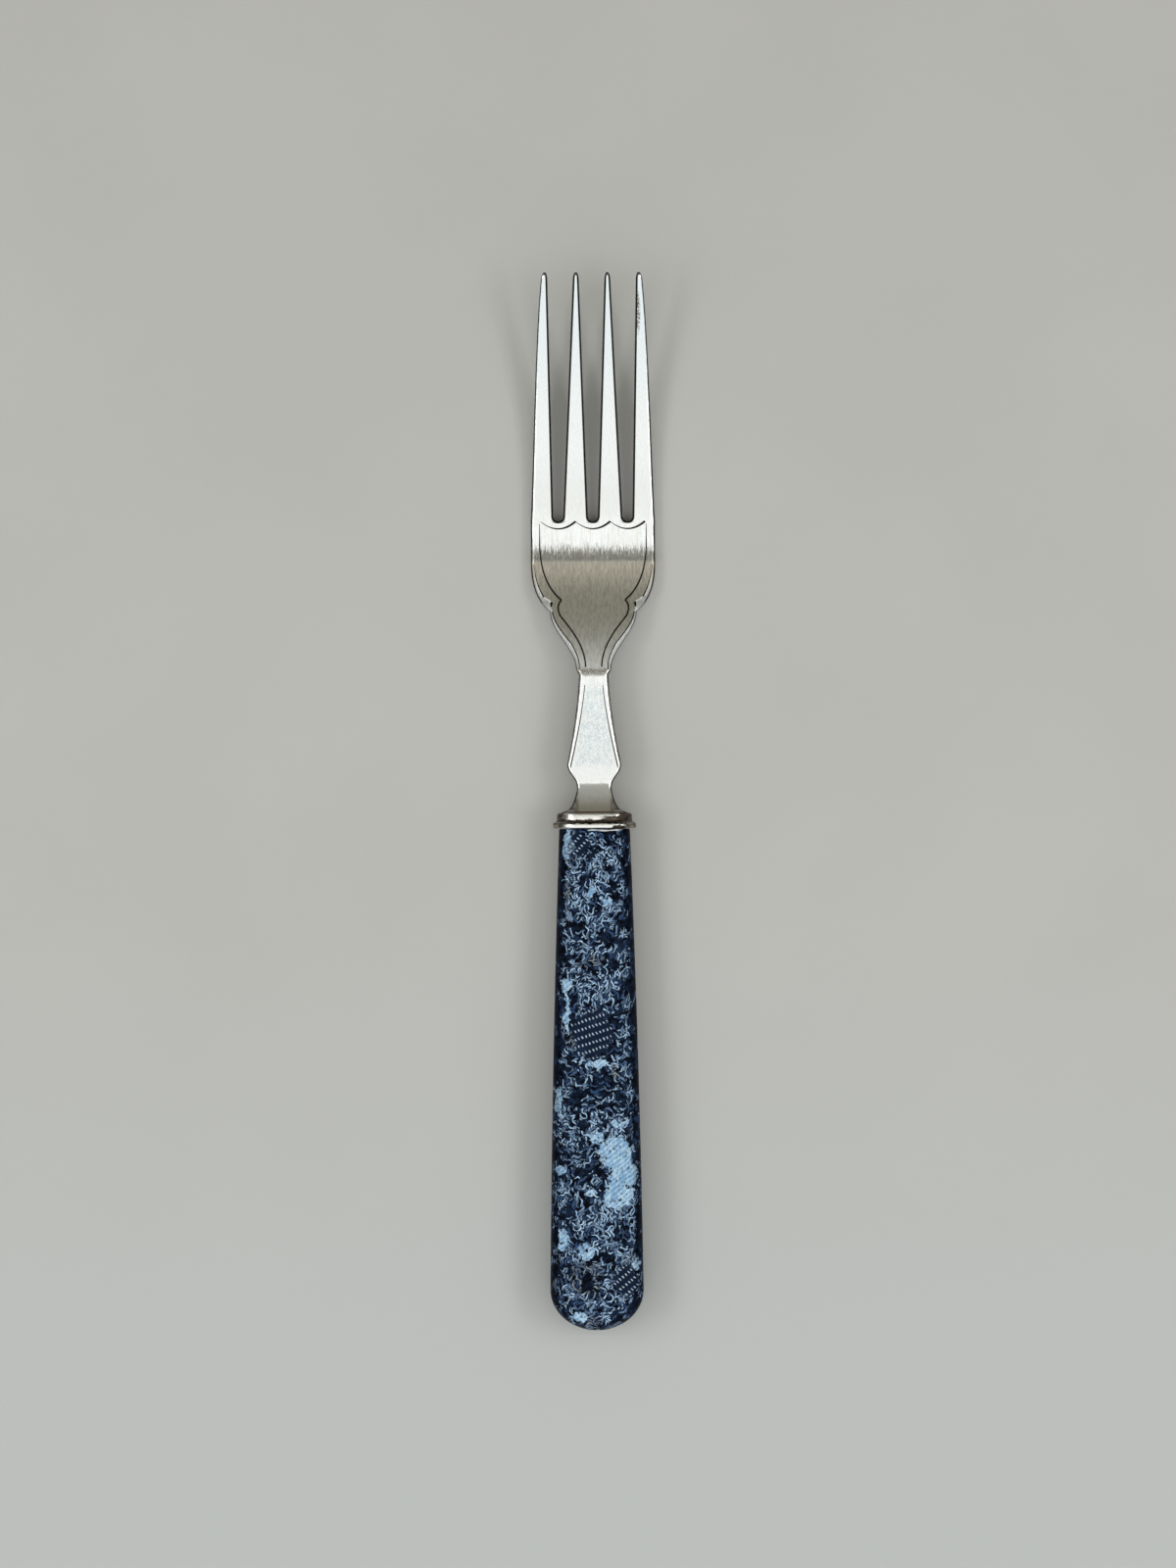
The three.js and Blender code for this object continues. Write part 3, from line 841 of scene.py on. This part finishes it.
def fork_head(metal, tarnished_and_shaded, collar):
    # The second material is tarnish in the engraved lines and painted shade on the slots' walls and upper
    # outer edges
    sheet = to_object(to_data("head_sheet", head_sheet(), metal, tarnished_and_shaded))
    head = to_piece(engrave(sheet, tarnished_and_shaded))
    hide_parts("fork_head")
    bolster = to_piece(to_data("bolster", loft(bolster_rings()), collar))
    tang_sides = [(TANG_TIP_SIDE, y_tang_tip), (TANG_ROOT_SIDE, y_bolster + BOLSTER_LENGTH / 2)]
    tang_rings = [rounded_ring(side / 2, side / 2, TANG_CORNER, y) for side, y in tang_sides]
    tang = to_piece(to_data("tang", loft(tang_rings), tarnished_and_shaded))


def ferrule(collar):
    """A thin plate with a half-round edge and a square hole for the tang."""
    rings = ferrule_rings()
    hole = FERRULE_HOLE / 2
    for y in (y_ferrule + ferrule_length, y_ferrule):
        rings.append(rounded_ring(hole, hole, TANG_CORNER, y))
    piece = to_piece(to_data("ferrule_plate", loft(rings, closed=True), collar))
    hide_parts("ferrule")


def butt_ring(step):
    """The half-elliptical end: full where the round starts, blunt at the very butt."""
    out = math.sin(math.pi / 2 * step / BUTT_STEPS)
    blunted = 1 - BUTT_BLUNTNESS ** 2
    half_width = HANDLE_BUTT_WIDTH / 2 * math.sqrt(1 - blunted * out ** 2)
    half_height = HANDLE_BUTT_THICKNESS / 2 * (1 - blunted * out ** BUTT_FULLNESS) ** (1 / BUTT_FULLNESS)
    return rounded_ring(half_width, half_height, HANDLE_CORNER_RADIUS, y_butt_start - BUTT_ROUND_LENGTH * out)


def grip_ring(step):
    """The tapered length: its sides bow out a little and its faces stay flat."""
    along = step / BOW_STEPS
    bow = 4 * HANDLE_BOW * along * (1 - along)
    half_width = lerp(HANDLE_BUTT_WIDTH, HANDLE_TOP_WIDTH, along) / 2 + bow
    half_height = lerp(HANDLE_BUTT_THICKNESS, HANDLE_TOP_THICKNESS, along) / 2
    y = lerp(y_butt_start, y_handle - HANDLE_RIM, along)
    return rounded_ring(half_width, half_height, HANDLE_CORNER_RADIUS, y)


def handle(composite):
    rings = [butt_ring(step) for step in range(BUTT_STEPS, 0, -1)]
    rings += [grip_ring(step) for step in range(BOW_STEPS + 1)]
    for step in range(1, EDGE_STEPS + 1):
        angle = math.pi / 2 * step / EDGE_STEPS
        inset = HANDLE_RIM * (1 - math.cos(angle))
        rings.append(rounded_ring(
            HANDLE_TOP_WIDTH / 2 - inset, HANDLE_TOP_THICKNESS / 2 - inset, HANDLE_CORNER_RADIUS - inset,
            y_handle - HANDLE_RIM * (1 - math.sin(angle)),
        ))
    bore_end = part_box("tang_cement")[0].y
    for y in (y_handle, bore_end):
        rings.append(rounded_ring(BORE_RADIUS, BORE_RADIUS, BORE_RADIUS, y))
    piece = to_piece(to_data("handle_bar", loft(rings), composite))
    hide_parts("handle")


def cement_and_highlight_bead(adhesive):
    """A thin crooked pale bead along the front of the joint, under the ferrule: cement, and a painted
    highlight of the handle's top edge.
    """
    top = axis_height + HANDLE_TOP_THICKNESS / 2
    rings = []
    for step in range(BEAD_STEPS * 2 + 1):
        share = step / (BEAD_STEPS * 2)
        swell = math.sin(math.pi * share) ** BEAD_TAPER * (0.8 + 0.2 * math.sin(BEAD_LUMPS * share))
        radius = BEAD_RADIUS * max(swell, 0.1)
        x = lerp(BEAD_START, BEAD_END, share)
        y = y_handle - HANDLE_RIM + BEAD_WANDER * math.sin(BEAD_WAVES * share)
        turns = [2 * math.pi * turn / GRAVER_SIDES for turn in range(GRAVER_SIDES)]
        rings.append([(x, y + radius * math.cos(turn), top + radius * math.sin(turn)) for turn in turns])
    piece = to_piece(to_data("cement_and_highlight_bead", loft(rings), adhesive))


# Shader nodes

class Graph:
    """Short calls for the shader nodes that the materials and the world use."""

    def __init__(self, tree):
        self.tree = tree

    def node(self, kind, inputs, **settings):
        """A node with its inputs, each a value or the output of another node."""
        made = self.tree.nodes.new("ShaderNode" + kind)
        for name, value in settings.items():
            setattr(made, name, value)
        for name, value in inputs.items():
            self.feed(made.inputs[name], value)
        return made

    def feed(self, socket, value):
        """Links an output or sets a value; a vector may take one number for all its axes."""
        if isinstance(value, bpy.types.NodeSocket):
            self.tree.links.new(value, socket)
        elif socket.type == "RGBA":
            socket.default_value = (*value, 1)
        elif socket.type == "VECTOR":
            socket.default_value = np.ones(3) * value
        else:
            socket.default_value = value

    def math(self, operation, first, second=0.0, third=0.0):
        return self.node("Math", {0: first, 1: second, 2: third}, operation=operation).outputs[0]

    def vector(self, operation, first, second):
        return self.node("VectorMath", {0: first, 1: second}, operation=operation).outputs[0]

    def millimetres(self):
        """The place on the fork, in millimetres of its own frame."""
        place = self.node("TexCoord", {}).outputs["Object"]
        return self.vector("MULTIPLY", place, 1 / MM)

    def split(self, place):
        return self.node("SeparateXYZ", {0: place}).outputs

    def noise(self, place, stretch, detail=2.0, roughness=0.5, output="Fac"):
        """Soft noise with that many swings to the millimetre along each axis."""
        stretched = self.vector("MULTIPLY", place, stretch)
        inputs = {"Vector": stretched, "Scale": 1, "Detail": detail, "Roughness": roughness}
        return self.node("TexNoise", inputs).outputs[output]

    def stray(self, place, swings, reach):
        """A push in millimetres that wanders over the surface and seldom passes half of reach."""
        push = self.noise(place, swings, output="Color")
        return self.vector("MULTIPLY", self.vector("SUBTRACT", push, 0.5), 2 * reach)

    def astray(self, place, swings, reach):
        """A place moved by such a push."""
        return self.vector("ADD", place, self.stray(place, swings, reach))

    def turned(self, place, angle):
        """A place turned about Z."""
        return self.node("VectorRotate", {"Vector": place, "Angle": angle}, rotation_type="Z_AXIS").outputs[0]

    def step(self, value, start, end, low=0.0, high=1.0):
        """A smooth step from low to high while the value goes from start to end."""
        inputs = {"Value": value, "From Min": start, "From Max": end, "To Min": low, "To Max": high}
        return self.node("MapRange", inputs, interpolation_type="SMOOTHSTEP").outputs["Result"]

    def mix(self, share, first, second):
        return self.node("Mix", {0: share, 6: first, 7: second}, data_type="RGBA").outputs[2]

    def most(self, *values):
        found = values[0]
        for value in values[1:]:
            found = self.math("MAXIMUM", found, value)
        return found

    def add(self, base, value, factor=1.0):
        """A base plus a value times a factor."""
        return self.math("MULTIPLY_ADD", value, factor, base)

    def product(self, *values):
        found = values[0]
        for value in values[1:]:
            found = self.math("MULTIPLY", found, value)
        return found

    def spot(self, place, x, y, reach_x, reach_y):
        """1 inside an upright ellipse seen from above, given in millimetres, fading to 0 outside it."""
        away = self.vector("SUBTRACT", place, (x, y, 0))
        scaled = self.vector("MULTIPLY", away, (1 / reach_x, 1 / reach_y, 0))
        length = self.node("VectorMath", {0: scaled}, operation="LENGTH").outputs["Value"]
        return self.step(length, *SPOT_FADE)

    def facing(self, axis):
        """How squarely the surface faces along an axis, either way."""
        normal = self.node("NewGeometry", {}).outputs["Normal"]
        return self.math("ABSOLUTE", self.split(normal)[axis])

    def bump(self, height, depth):
        return self.node("Bump", {"Strength": 1, "Distance": depth, "Height": height}).outputs[0]


def new_material(name, metallic, specular):
    """A new material's graph, the place on its surface, and a call that feeds its shader."""
    material = bpy.data.materials.new(name)
    material.use_nodes = True
    shader = material.node_tree.nodes["Principled BSDF"]
    shader.inputs["Metallic"].default_value = metallic
    shader.inputs["Specular IOR Level"].default_value = specular
    g = Graph(material.node_tree)

    def surface(color, roughness, normal):
        g.feed(shader.inputs["Base Color"], color)
        g.feed(shader.inputs["Roughness"], roughness)
        g.feed(shader.inputs["Normal"], normal)
        return material

    return g, g.millimetres(), surface


# Materials

def head_patterns(g, place):
    """The brushing and the grain of the head's metal."""
    return SimpleNamespace(
        hair=g.noise(place, (8, 0.2, 8), detail=3),
        brush=g.noise(place, (2.0, 0.5, 2.0)),
        stroke=g.noise(place, (3.2, 0.12, 3.2), detail=3),
        streak=g.noise(place, (5.5, 0.4, 5.5), detail=4, roughness=0.6),
        mottle=g.noise(place, (1.5, 1.0, 1.5), detail=4, roughness=0.65),
        grit=g.noise(place, (5, 4, 5), detail=3, roughness=0.65),
        specks=g.step(g.noise(place, 3.1), 0.7, 0.76),
    )


def head_areas(g, place, pattern):
    """Masks of the head: the lower blade, its bend, the rough neck, the cool panel, and the dark marks: a
    stain, a darker rim at the foot's lower end, tarnish with painted dark reflection at the tips, and tarnish
    with painted shade on the foot's flare.
    """
    x, y, z = g.split(place)
    width = g.math("ABSOLUTE", x)
    waving = g.add(y, pattern.streak, 0.8)
    panel_side = g.step(g.add(width, y, COOL_PANEL_TAPER), *COOL_PANEL_SIDE)
    patchy = g.step(pattern.grit, 0.2, 0.6, 0.45, 0.75)
    # Painted shade mixed with tarnish on the foot's flaring sides
    flare = g.product(g.step(y, *FLARE_HIGH), g.step(width, *FLARE_SIDE), patchy)
    # The tips' rounded ends: tarnish and painted dark reflection
    tips = g.step(g.add(y, -y_tip / MM), *TIP_TARNISH_AND_SHADE)
    seam = g.step(g.add(y, -y_foot / MM), *SEAM_DARKENING)
    darkened = g.product(g.spot(place, *TINE_STAIN), g.step(pattern.grit, 0.4, 0.55))
    return SimpleNamespace(
        lower=g.product(g.step(y, *LOWER_BLADE_LOW), g.step(y, *LOWER_BLADE_HIGH)),
        bend=g.product(g.step(waving, *BEND_LOW), g.step(y, *BEND_HIGH)),
        rough=g.product(g.step(y, *ROUGH_LOW), g.step(y, *ROUGH_HIGH)),
        panel=g.product(g.step(y, *COOL_PANEL_LOW), g.step(y, *COOL_PANEL_HIGH), panel_side),
        tarnished_and_shaded=g.most(flare, seam, tips, darkened),
    )


def head_color(g, y, pattern, area):
    """Bright metal, changed by one mark after another, from tints, painted reflections, a painted highlight
    and painted shade to tarnish.
    """
    hair = pattern.hair
    cooled = g.step(g.add(pattern.grit, pattern.mottle, 0.5), 0.6, 0.95)
    ragged = g.add(pattern.streak, g.step(y, *BEND_FADE, 0.0, 0.38))
    changes = [
        # Painted reflection: paler, bluer tines and bluer tips
        (g.step(y, *PALE_TINES), PALE_TINE_REFLECTION),
        (g.product(g.step(y, *BLUE_TIPS), g.step(hair, 0.3, 0.7, 1.0, 0.5)), BLUE_TIP_REFLECTION),
        # Painted highlight of the strip lamp across the lower blade
        (g.product(area.lower, g.step(y, *PAINTED_HIGHLIGHT_BAND)), PAINTED_HIGHLIGHT_METAL),
        # Dull patches, stronger on the lower blade as painted shade of its tilted face
        (g.product(g.step(hair, 0.4, 0.7), g.step(area.lower, 0, 1, 0.12, 0.35)), DULL_AND_SHADED_METAL),
        (g.product(area.lower, g.step(pattern.stroke, 0.4, 0.66, 0.0, 0.4)), DULL_AND_SHADED_METAL),
        (g.product(area.panel, cooled), PANEL_METAL),
        (g.product(pattern.specks, g.step(pattern.mottle, 0.4, 0.5, 0.1, 0.6)), DULL_AND_SHADED_METAL),
        (g.product(area.rough, g.step(pattern.grit, 0.35, 0.6)), DULL_AND_SHADED_METAL),
        # Painted shade on the foot towards the bolster
        (g.product(g.step(y, *SHADED_FOOT), 0.5), DULL_AND_SHADED_METAL),
        # Painted dark reflection along the bend, broken up by brush marks
        (g.product(area.bend, g.step(ragged, 0.52, 0.76)), STREAK_METAL),
        (area.tarnished_and_shaded, BROWN_TARNISH_AND_SHADE),
    ]
    color = g.mix(g.step(hair, 0.3, 0.7), COOL_METAL, WARM_METAL)
    for share, tint in changes:
        color = g.mix(share, color, tint)
    return color


def brushed_metal():
    """Bright metal brushed along the fork, matt towards the neck and on the lower blade's slanting sides."""
    g, place, surface = new_material("brushed_metal", 1, 0.5)
    y = g.split(place)[1]
    pattern = head_patterns(g, place)
    area = head_areas(g, place, pattern)
    matt = g.product(area.lower, g.most(g.step(y, *MATT_NECK), g.step(g.facing(0), 0.1, 0.35)))
    roughness = g.add(g.step(pattern.hair, 0.3, 0.7, 0.13, 0.22), matt, 0.3)
    height = g.add(pattern.brush, pattern.hair, 0.2)
    for mask, relief, change in ((area.bend, pattern.streak, 2.0), (area.rough, pattern.grit, 1.3)):
        height = g.add(height, g.product(mask, g.add(relief, -0.5)), change)
    return surface(head_color(g, y, pattern, area), roughness, g.bump(height, 0.03 * MM))


def tarnish_and_painted_shade():
    """Brown-black tarnish in the engraved lines and on the tang; on the slots' walls and the blade's upper
    outer edges the same near black is painted shade and painted dark reflection.
    """
    g, place, surface = new_material("tarnished_and_shaded_metal", 0.2, 0.15)
    grime = g.noise(place, (3, 1.2, 3), detail=3, roughness=0.6)
    color = g.mix(g.step(grime, 0.35, 0.7), LINE_BLACK, LINE_BROWN)
    return surface(color, g.step(grime, 0.3, 0.7, 0.45, 0.65), g.bump(grime, 0.02 * MM))


def bolster_metal():
    """Bright on the crown, and brown-black at the ends, below it, and over the lower right: painted dark
    reflection with tarnish at the ends, painted shade with tarnish below the crown, and tarnish over the
    lower right.
    """
    g, place, surface = new_material("bolster_metal", 1, 0.5)
    grime = g.noise(place, (0.8, 1.5, 0.8), detail=3, roughness=0.55)
    wander = g.vector("ADD", g.astray(place, 0.5, 0.7), g.stray(place, 2.2, 0.3))
    x, y, z = g.split(g.vector("SUBTRACT", wander, (0, y_bolster / MM, 0)))
    # Painted dark reflection at the bolster's rounded ends, and painted shade below its round towards the
    # ferrule, both mixed with tarnish
    ends = g.most(g.step(x, *BOLSTER_LEFT), g.step(x, *BOLSTER_RIGHT))
    right = g.product(g.step(x, *LOWER_RIGHT_SIDE), g.step(y, *LOWER_RIGHT_HIGH))
    darkened = g.most(g.step(y, *BOLSTER_LOW), ends, right)
    tarnish_and_shade = g.mix(g.step(grime, 0.35, 0.65), BOLSTER_BLACK, BROWN_TARNISH_AND_SHADE)
    color = g.mix(darkened, WARM_METAL, tarnish_and_shade)
    return surface(color, g.step(darkened, 0, 1, 0.2, 0.5), g.bump(grime, 0.02 * MM))


def ferrule_metal():
    """Bright along the front, dull at both ends, black towards the bolster and at one nick: the black towards
    the bolster is painted shade, and the dull ends are painted dark reflection with tarnish.
    """
    g, place, surface = new_material("ferrule_metal", 1, 0.5)
    grime = g.noise(place, (0.9, 2, 0.9), detail=4, roughness=0.65)
    wander = g.vector("SUBTRACT", g.astray(place, 1.6, 0.45), (0, y_ferrule / MM, 0))
    x, y, z = g.split(wander)
    # Painted shade on the ferrule's upper part, in the groove under the bolster
    gap = g.step(y, *FERRULE_UPPER)
    nick = g.step(g.spot(wander, *FERRULE_NICK), 0.35, 0.6)
    # Painted dark reflection on the rounded ends, mixed with tarnish
    ends = g.step(g.math("ABSOLUTE", x), *FERRULE_ENDS)
    shaded_tarnished_ends = g.mix(ends, WARM_METAL, g.mix(g.step(grime, 0.4, 0.6), DULL_AND_SHADED_METAL, BROWN_TARNISH_AND_SHADE))
    color = g.mix(g.most(gap, nick), shaded_tarnished_ends, FERRULE_BLACK)
    return surface(color, g.step(grime, 0.3, 0.7, 0.2, 0.38), g.bump(grime, 0.04 * MM))


def unrolled(g, place):
    """The place on the handle's surface: x and y on its flat faces, with height in place of x on its sides.

    Its back half lies farther along, past a crooked line around the middle, so that nothing is mirrored.
    """
    x, y, z = g.split(place)
    height = g.add(z, -axis_height / MM)
    depth = g.math("ABSOLUTE", height)
    fall = g.add(SIDE_UNROLL, depth, -1)
    crooked = g.add(height, g.noise(place, 0.9), BACK_CROOK)
    back = g.math("LESS_THAN", crooked, BACK_CROOK / 2)
    u = g.add(x, g.step(x, -FLAT_HALF, FLAT_HALF, -1, 1), fall)
    v = g.add(g.add(y, depth, SIDE_SLIP), back, BACK_SHIFT)
    return g.node("CombineXYZ", {0: u, 1: v, 2: 0.0}).outputs[0]


def cells(g, place, size, kind="2D"):
    """The flat or solid cells of a loose grid of that size in millimetres."""
    return g.node("TexVoronoi", {"Vector": place, "Scale": 1 / size}, voronoi_dimensions=kind).outputs


def thread(g, place, shift, cover):
    """One bent thread in each long cell of a bundle: where it lies, where it shades, and how pale it is."""
    moved = g.vector("ADD", place, (shift, shift, 0))
    turn = g.product(g.split(cells(g, moved, BUNDLE_SIZE)["Color"])[0], 2 * math.pi)
    squeezed = g.vector("MULTIPLY", g.turned(moved, turn), (1 / THREAD_STRETCH, 1, 0))
    cell = cells(g, squeezed, THREAD_SPACING)
    pick, lean, tone = g.split(cell["Color"])
    squeezed_along, aside, up = g.split(g.vector("SUBTRACT", squeezed, cell["Position"]))
    along = g.product(squeezed_along, THREAD_STRETCH)
    leaning = g.product(along, g.add(lean, -0.5))
    aside = g.add(aside, leaning, THREAD_LEAN)
    sway = g.math("SINE", g.add(g.product(tone, SWAY_PHASES), along, SWAY_RATE))
    aside = g.add(aside, sway, THREAD_SWAY)
    past = g.math("MAXIMUM", g.add(g.math("ABSOLUTE", along), -THREAD_REACH), 0.0)
    distance = g.math("SQRT", g.add(g.product(past, past), aside, aside))
    distance = g.add(distance, g.product(along, along), THREAD_TAPER)
    distance = g.product(distance, g.step(tone, 0.1, 0.9, 0.75, 1.3))
    shown = g.step(g.add(pick, cover), 0.95, 1.05)
    lies = g.product(shown, g.step(distance, THREAD_HALF_WIDTH, 0.5 * THREAD_HALF_WIDTH))
    shades = g.product(shown, g.step(distance, THREAD_SHADE, 0.5 * THREAD_SHADE))
    return lies, shades, tone


def torn_scraps(g, place, spots):
    """1 inside any of some spots, whose edges are torn, and 0 outside them."""
    astray = g.astray(place, 0.6, 1.3)
    whole = 0.0
    for spot in spots:
        whole = g.add(whole, g.spot(astray, *spot))
    whole = g.math("MINIMUM", whole, 1.0)
    tear = g.noise(place, 1.5, detail=4, roughness=0.65)
    return g.step(g.add(whole, tear, 2.2), 1.5, 1.75)


def denim_areas(g, place):
    """Masks of the handle: its low end, its sides, where shade is painted, and its front's pale, dark, grey
    and woven scraps.
    """
    x, y, z = g.split(place)
    front = g.step(g.add(z, -axis_height / MM), *FRONT_RISE)
    return SimpleNamespace(
        low=g.step(y, *LOW_HANDLE),
        steep=g.step(g.facing(2), 0.92, 0.7),
        pale=g.product(front, torn_scraps(g, place, PALE_SCRAPS)),
        dark=g.product(front, torn_scraps(g, place, DARK_SCRAPS)),
        grey=g.product(front, torn_scraps(g, place, [GREY_SCRAP])),
        weaves=[g.product(front, torn_scraps(g, place, [spot])) for spot, tilt in TWILL_SCRAPS],
    )


def threaded(g, place, area, clump, color):
    """A colour under layers of threads, which lie closer in clumps and in pale scraps."""
    skin = g.astray(unrolled(g, place), 0.7, 0.35)
    chance = g.split(cells(g, g.astray(place, 0.3, 2), SCRAP_SIZE, "3D")["Color"])
    weave = g.most(*area.weaves)
    cover = g.step(clump, 0, 1, 0.15, 0.57)
    # Fewer threads on the steep sides darken them as painted shade
    changes = [
        (chance[0], 0.15), (area.dark, -0.3), (area.pale, 0.2), (weave, -0.6), (area.steep, -0.5),
        (area.low, 0.15),
    ]
    for mask, change in changes:
        cover = g.add(cover, mask, change)
    grey = g.most(g.step(chance[2], 0.88, 0.94), area.grey)
    for layer in range(THREAD_LAYERS):
        lies, shades, light = thread(g, skin, LAYER_SHIFT * layer, cover)
        color = g.mix(g.product(shades, 0.88), color, RESIN_BLACK)
        light = g.step(g.add(light, g.most(clump, area.pale), 0.6), 0.28, 1.3)
        tint = g.mix(light, THREAD_BLUE, g.mix(grey, THREAD_PALE, THREAD_GREY))
        color = g.mix(lies, color, tint)
    return color


def patched(g, place, area, haze, color):
    """A colour under the pale scraps and the patches of twill."""
    color = g.mix(g.product(area.pale, g.step(haze, 0.33, 0.46)), color, pale_scrap(g, place))
    color = g.mix(g.product(g.most(*area.weaves), 0.8), color, RESIN_NAVY)
    for weave, (spot, tilt) in zip(area.weaves, TWILL_SCRAPS):
        color = g.mix(g.product(weave, twill_dots(g, place, tilt)), color, TWILL_WHITE)
    return color


def denim_composite():
    """Scraps of indigo denim pressed in dark resin: short bent threads, pale scraps, and patches of twill."""
    g, place, surface = new_material("denim_composite", 0, 0.02)
    area = denim_areas(g, place)
    clump = g.step(g.noise(place, 0.35, detail=3, roughness=0.6), 0.35, 0.65)
    haze = g.noise(place, 0.9, detail=3, roughness=0.6)
    wash = g.mix(g.step(clump, 0.2, 1.0), RESIN_NAVY, THREAD_BLUE)
    color = g.mix(g.step(haze, 0.4, 0.65), RESIN_BLACK, wash)
    color = threaded(g, place, area, clump, color)
    color = patched(g, place, area, haze, color)
    # Painted shade: the handle's steep sides darkened towards black resin
    color = g.mix(g.product(area.steep, 0.35), color, RESIN_BLACK)
    ripple = g.noise(place, 0.6)
    return surface(color, g.step(haze, 0.3, 0.7, 0.34, 0.46), g.bump(ripple, 0.02 * MM))


def pale_scrap(g, place):
    """The colour inside a pale scrap, with fine uneven ribs and a few darker flecks."""
    along = g.split(g.turned(g.astray(place, 0.5, 0.4), RIB_TILT))[1]
    rib = g.math("SINE", g.product(along, 2 * math.pi / RIB_PITCH))
    streak = g.noise(place, (1.6, 0.7, 1.6), detail=3, roughness=0.6)
    ribbed = g.add(streak, rib, 0.1)
    fleck = g.step(g.noise(place, 1.9), 0.62, 0.7)
    color = g.mix(g.step(ribbed, 0.35, 0.65), SCRAP_BLUE, SCRAP_PALE)
    return g.mix(fleck, color, SCRAP_FLECK)


def twill_dots(g, place, tilt):
    """Rows of short white floats of a twill weave, turned by a tilt."""
    x, y, z = g.split(g.turned(g.astray(place, 0.9, 0.2), tilt))
    along = g.add(g.product(x, 1 / TWILL_PITCH), y, TWILL_LEAN)
    wave_x = g.math("SINE", g.product(along, 2 * math.pi))
    wave_y = g.math("SINE", g.product(y, 2 * math.pi / TWILL_ROW))
    return g.product(g.step(wave_x, 0.25, 0.9), g.step(wave_y, 0.25, 0.85))


def cement():
    g, place, surface = new_material("cement", 0, 0.3)
    grain = g.noise(place, (1.4, 3, 3), detail=3, roughness=0.6)
    color = g.mix(g.step(grain, 0.35, 0.65), CEMENT_DULL, CEMENT_PALE)
    return surface(color, g.step(grain, 0.3, 0.7, 0.45, 0.7), g.bump(grain, 0.03 * MM))


def floor_paper():
    g, place, surface = new_material("floor_paper", 0, 0.2)
    grain = g.noise(place, 0.02, detail=4)
    fine = g.noise(place, 1.5)
    warm = g.mix(g.step(grain, 0.3, 0.7), FLOOR_DULL, FLOOR_PALE)
    # Painted light: cooler and a little brighter towards the front
    color = g.mix(g.step(g.split(place)[1], *FLOOR_TURN), warm, FLOOR_COOL_LIGHT)
    return surface(color, 0.85, g.bump(fine, 0.02 * MM))


# Stage, light and camera

def stage():
    mesh = bmesh.new()
    bmesh.ops.create_grid(mesh, x_segments=1, y_segments=1, size=FLOOR_HALF)
    floor = to_object(to_data("floor", mesh, floor_paper()))


def softbox(name, size_x, size_y, place, color, radiance):
    """A lamp as bright as a glowing sheet of that radiance."""
    light = bpy.data.lights.new(name, "AREA")
    light.shape = "RECTANGLE"
    light.size = size_x
    light.size_y = size_y
    light.color = color
    light.energy = radiance * math.pi * size_x * size_y
    lamp = to_object(light)
    lamp.location = place
    lamp.visible_camera = False


def world():
    """Pale walls, dark low down at both sides, and a dim warm wall beyond the tips."""
    surroundings = bpy.data.worlds.new("studio")
    surroundings.use_nodes = True
    g = Graph(surroundings.node_tree)
    x, y, z = g.split(g.node("TexCoord", {}).outputs["Generated"])
    walls = g.mix(g.step(y, *WALL_TURN), PALE_WALL, DIM_WALL)
    low = g.product(g.step(g.math("ABSOLUTE", x), *LOW_SIDE), g.step(z, *LOW_HEIGHT))
    background = surroundings.node_tree.nodes["Background"]
    g.feed(background.inputs["Color"], g.mix(low, walls, LOW_SIDE_WALL))
    bpy.context.scene.world = surroundings


def camera():
    lens = bpy.data.cameras.new("camera")
    lens.sensor_width = SENSOR
    lens.lens = SENSOR * CAMERA_HEIGHT / FIELD_LENGTH
    lens.clip_end = CAMERA_REACH
    view = to_object(lens)
    view.location = (CAMERA_X, CAMERA_Y, axis_height + CAMERA_HEIGHT)
    view.rotation_euler = (0, 0, CAMERA_ROLL)
    bpy.context.scene.camera = view


joint_cement = cement()
fork_head(brushed_metal(), tarnish_and_painted_shade(), bolster_metal())
ferrule(ferrule_metal())
handle(denim_composite())
cement_and_highlight_bead(joint_cement)
sleeve_materials = frame["nodes"]["tang_cement"].data.materials
sleeve_materials.clear()
sleeve_materials.append(joint_cement)
stage()
for lamp in LAMPS:
    softbox(*lamp)
world()
camera()
bpy.context.scene.view_settings.view_transform = "Standard"
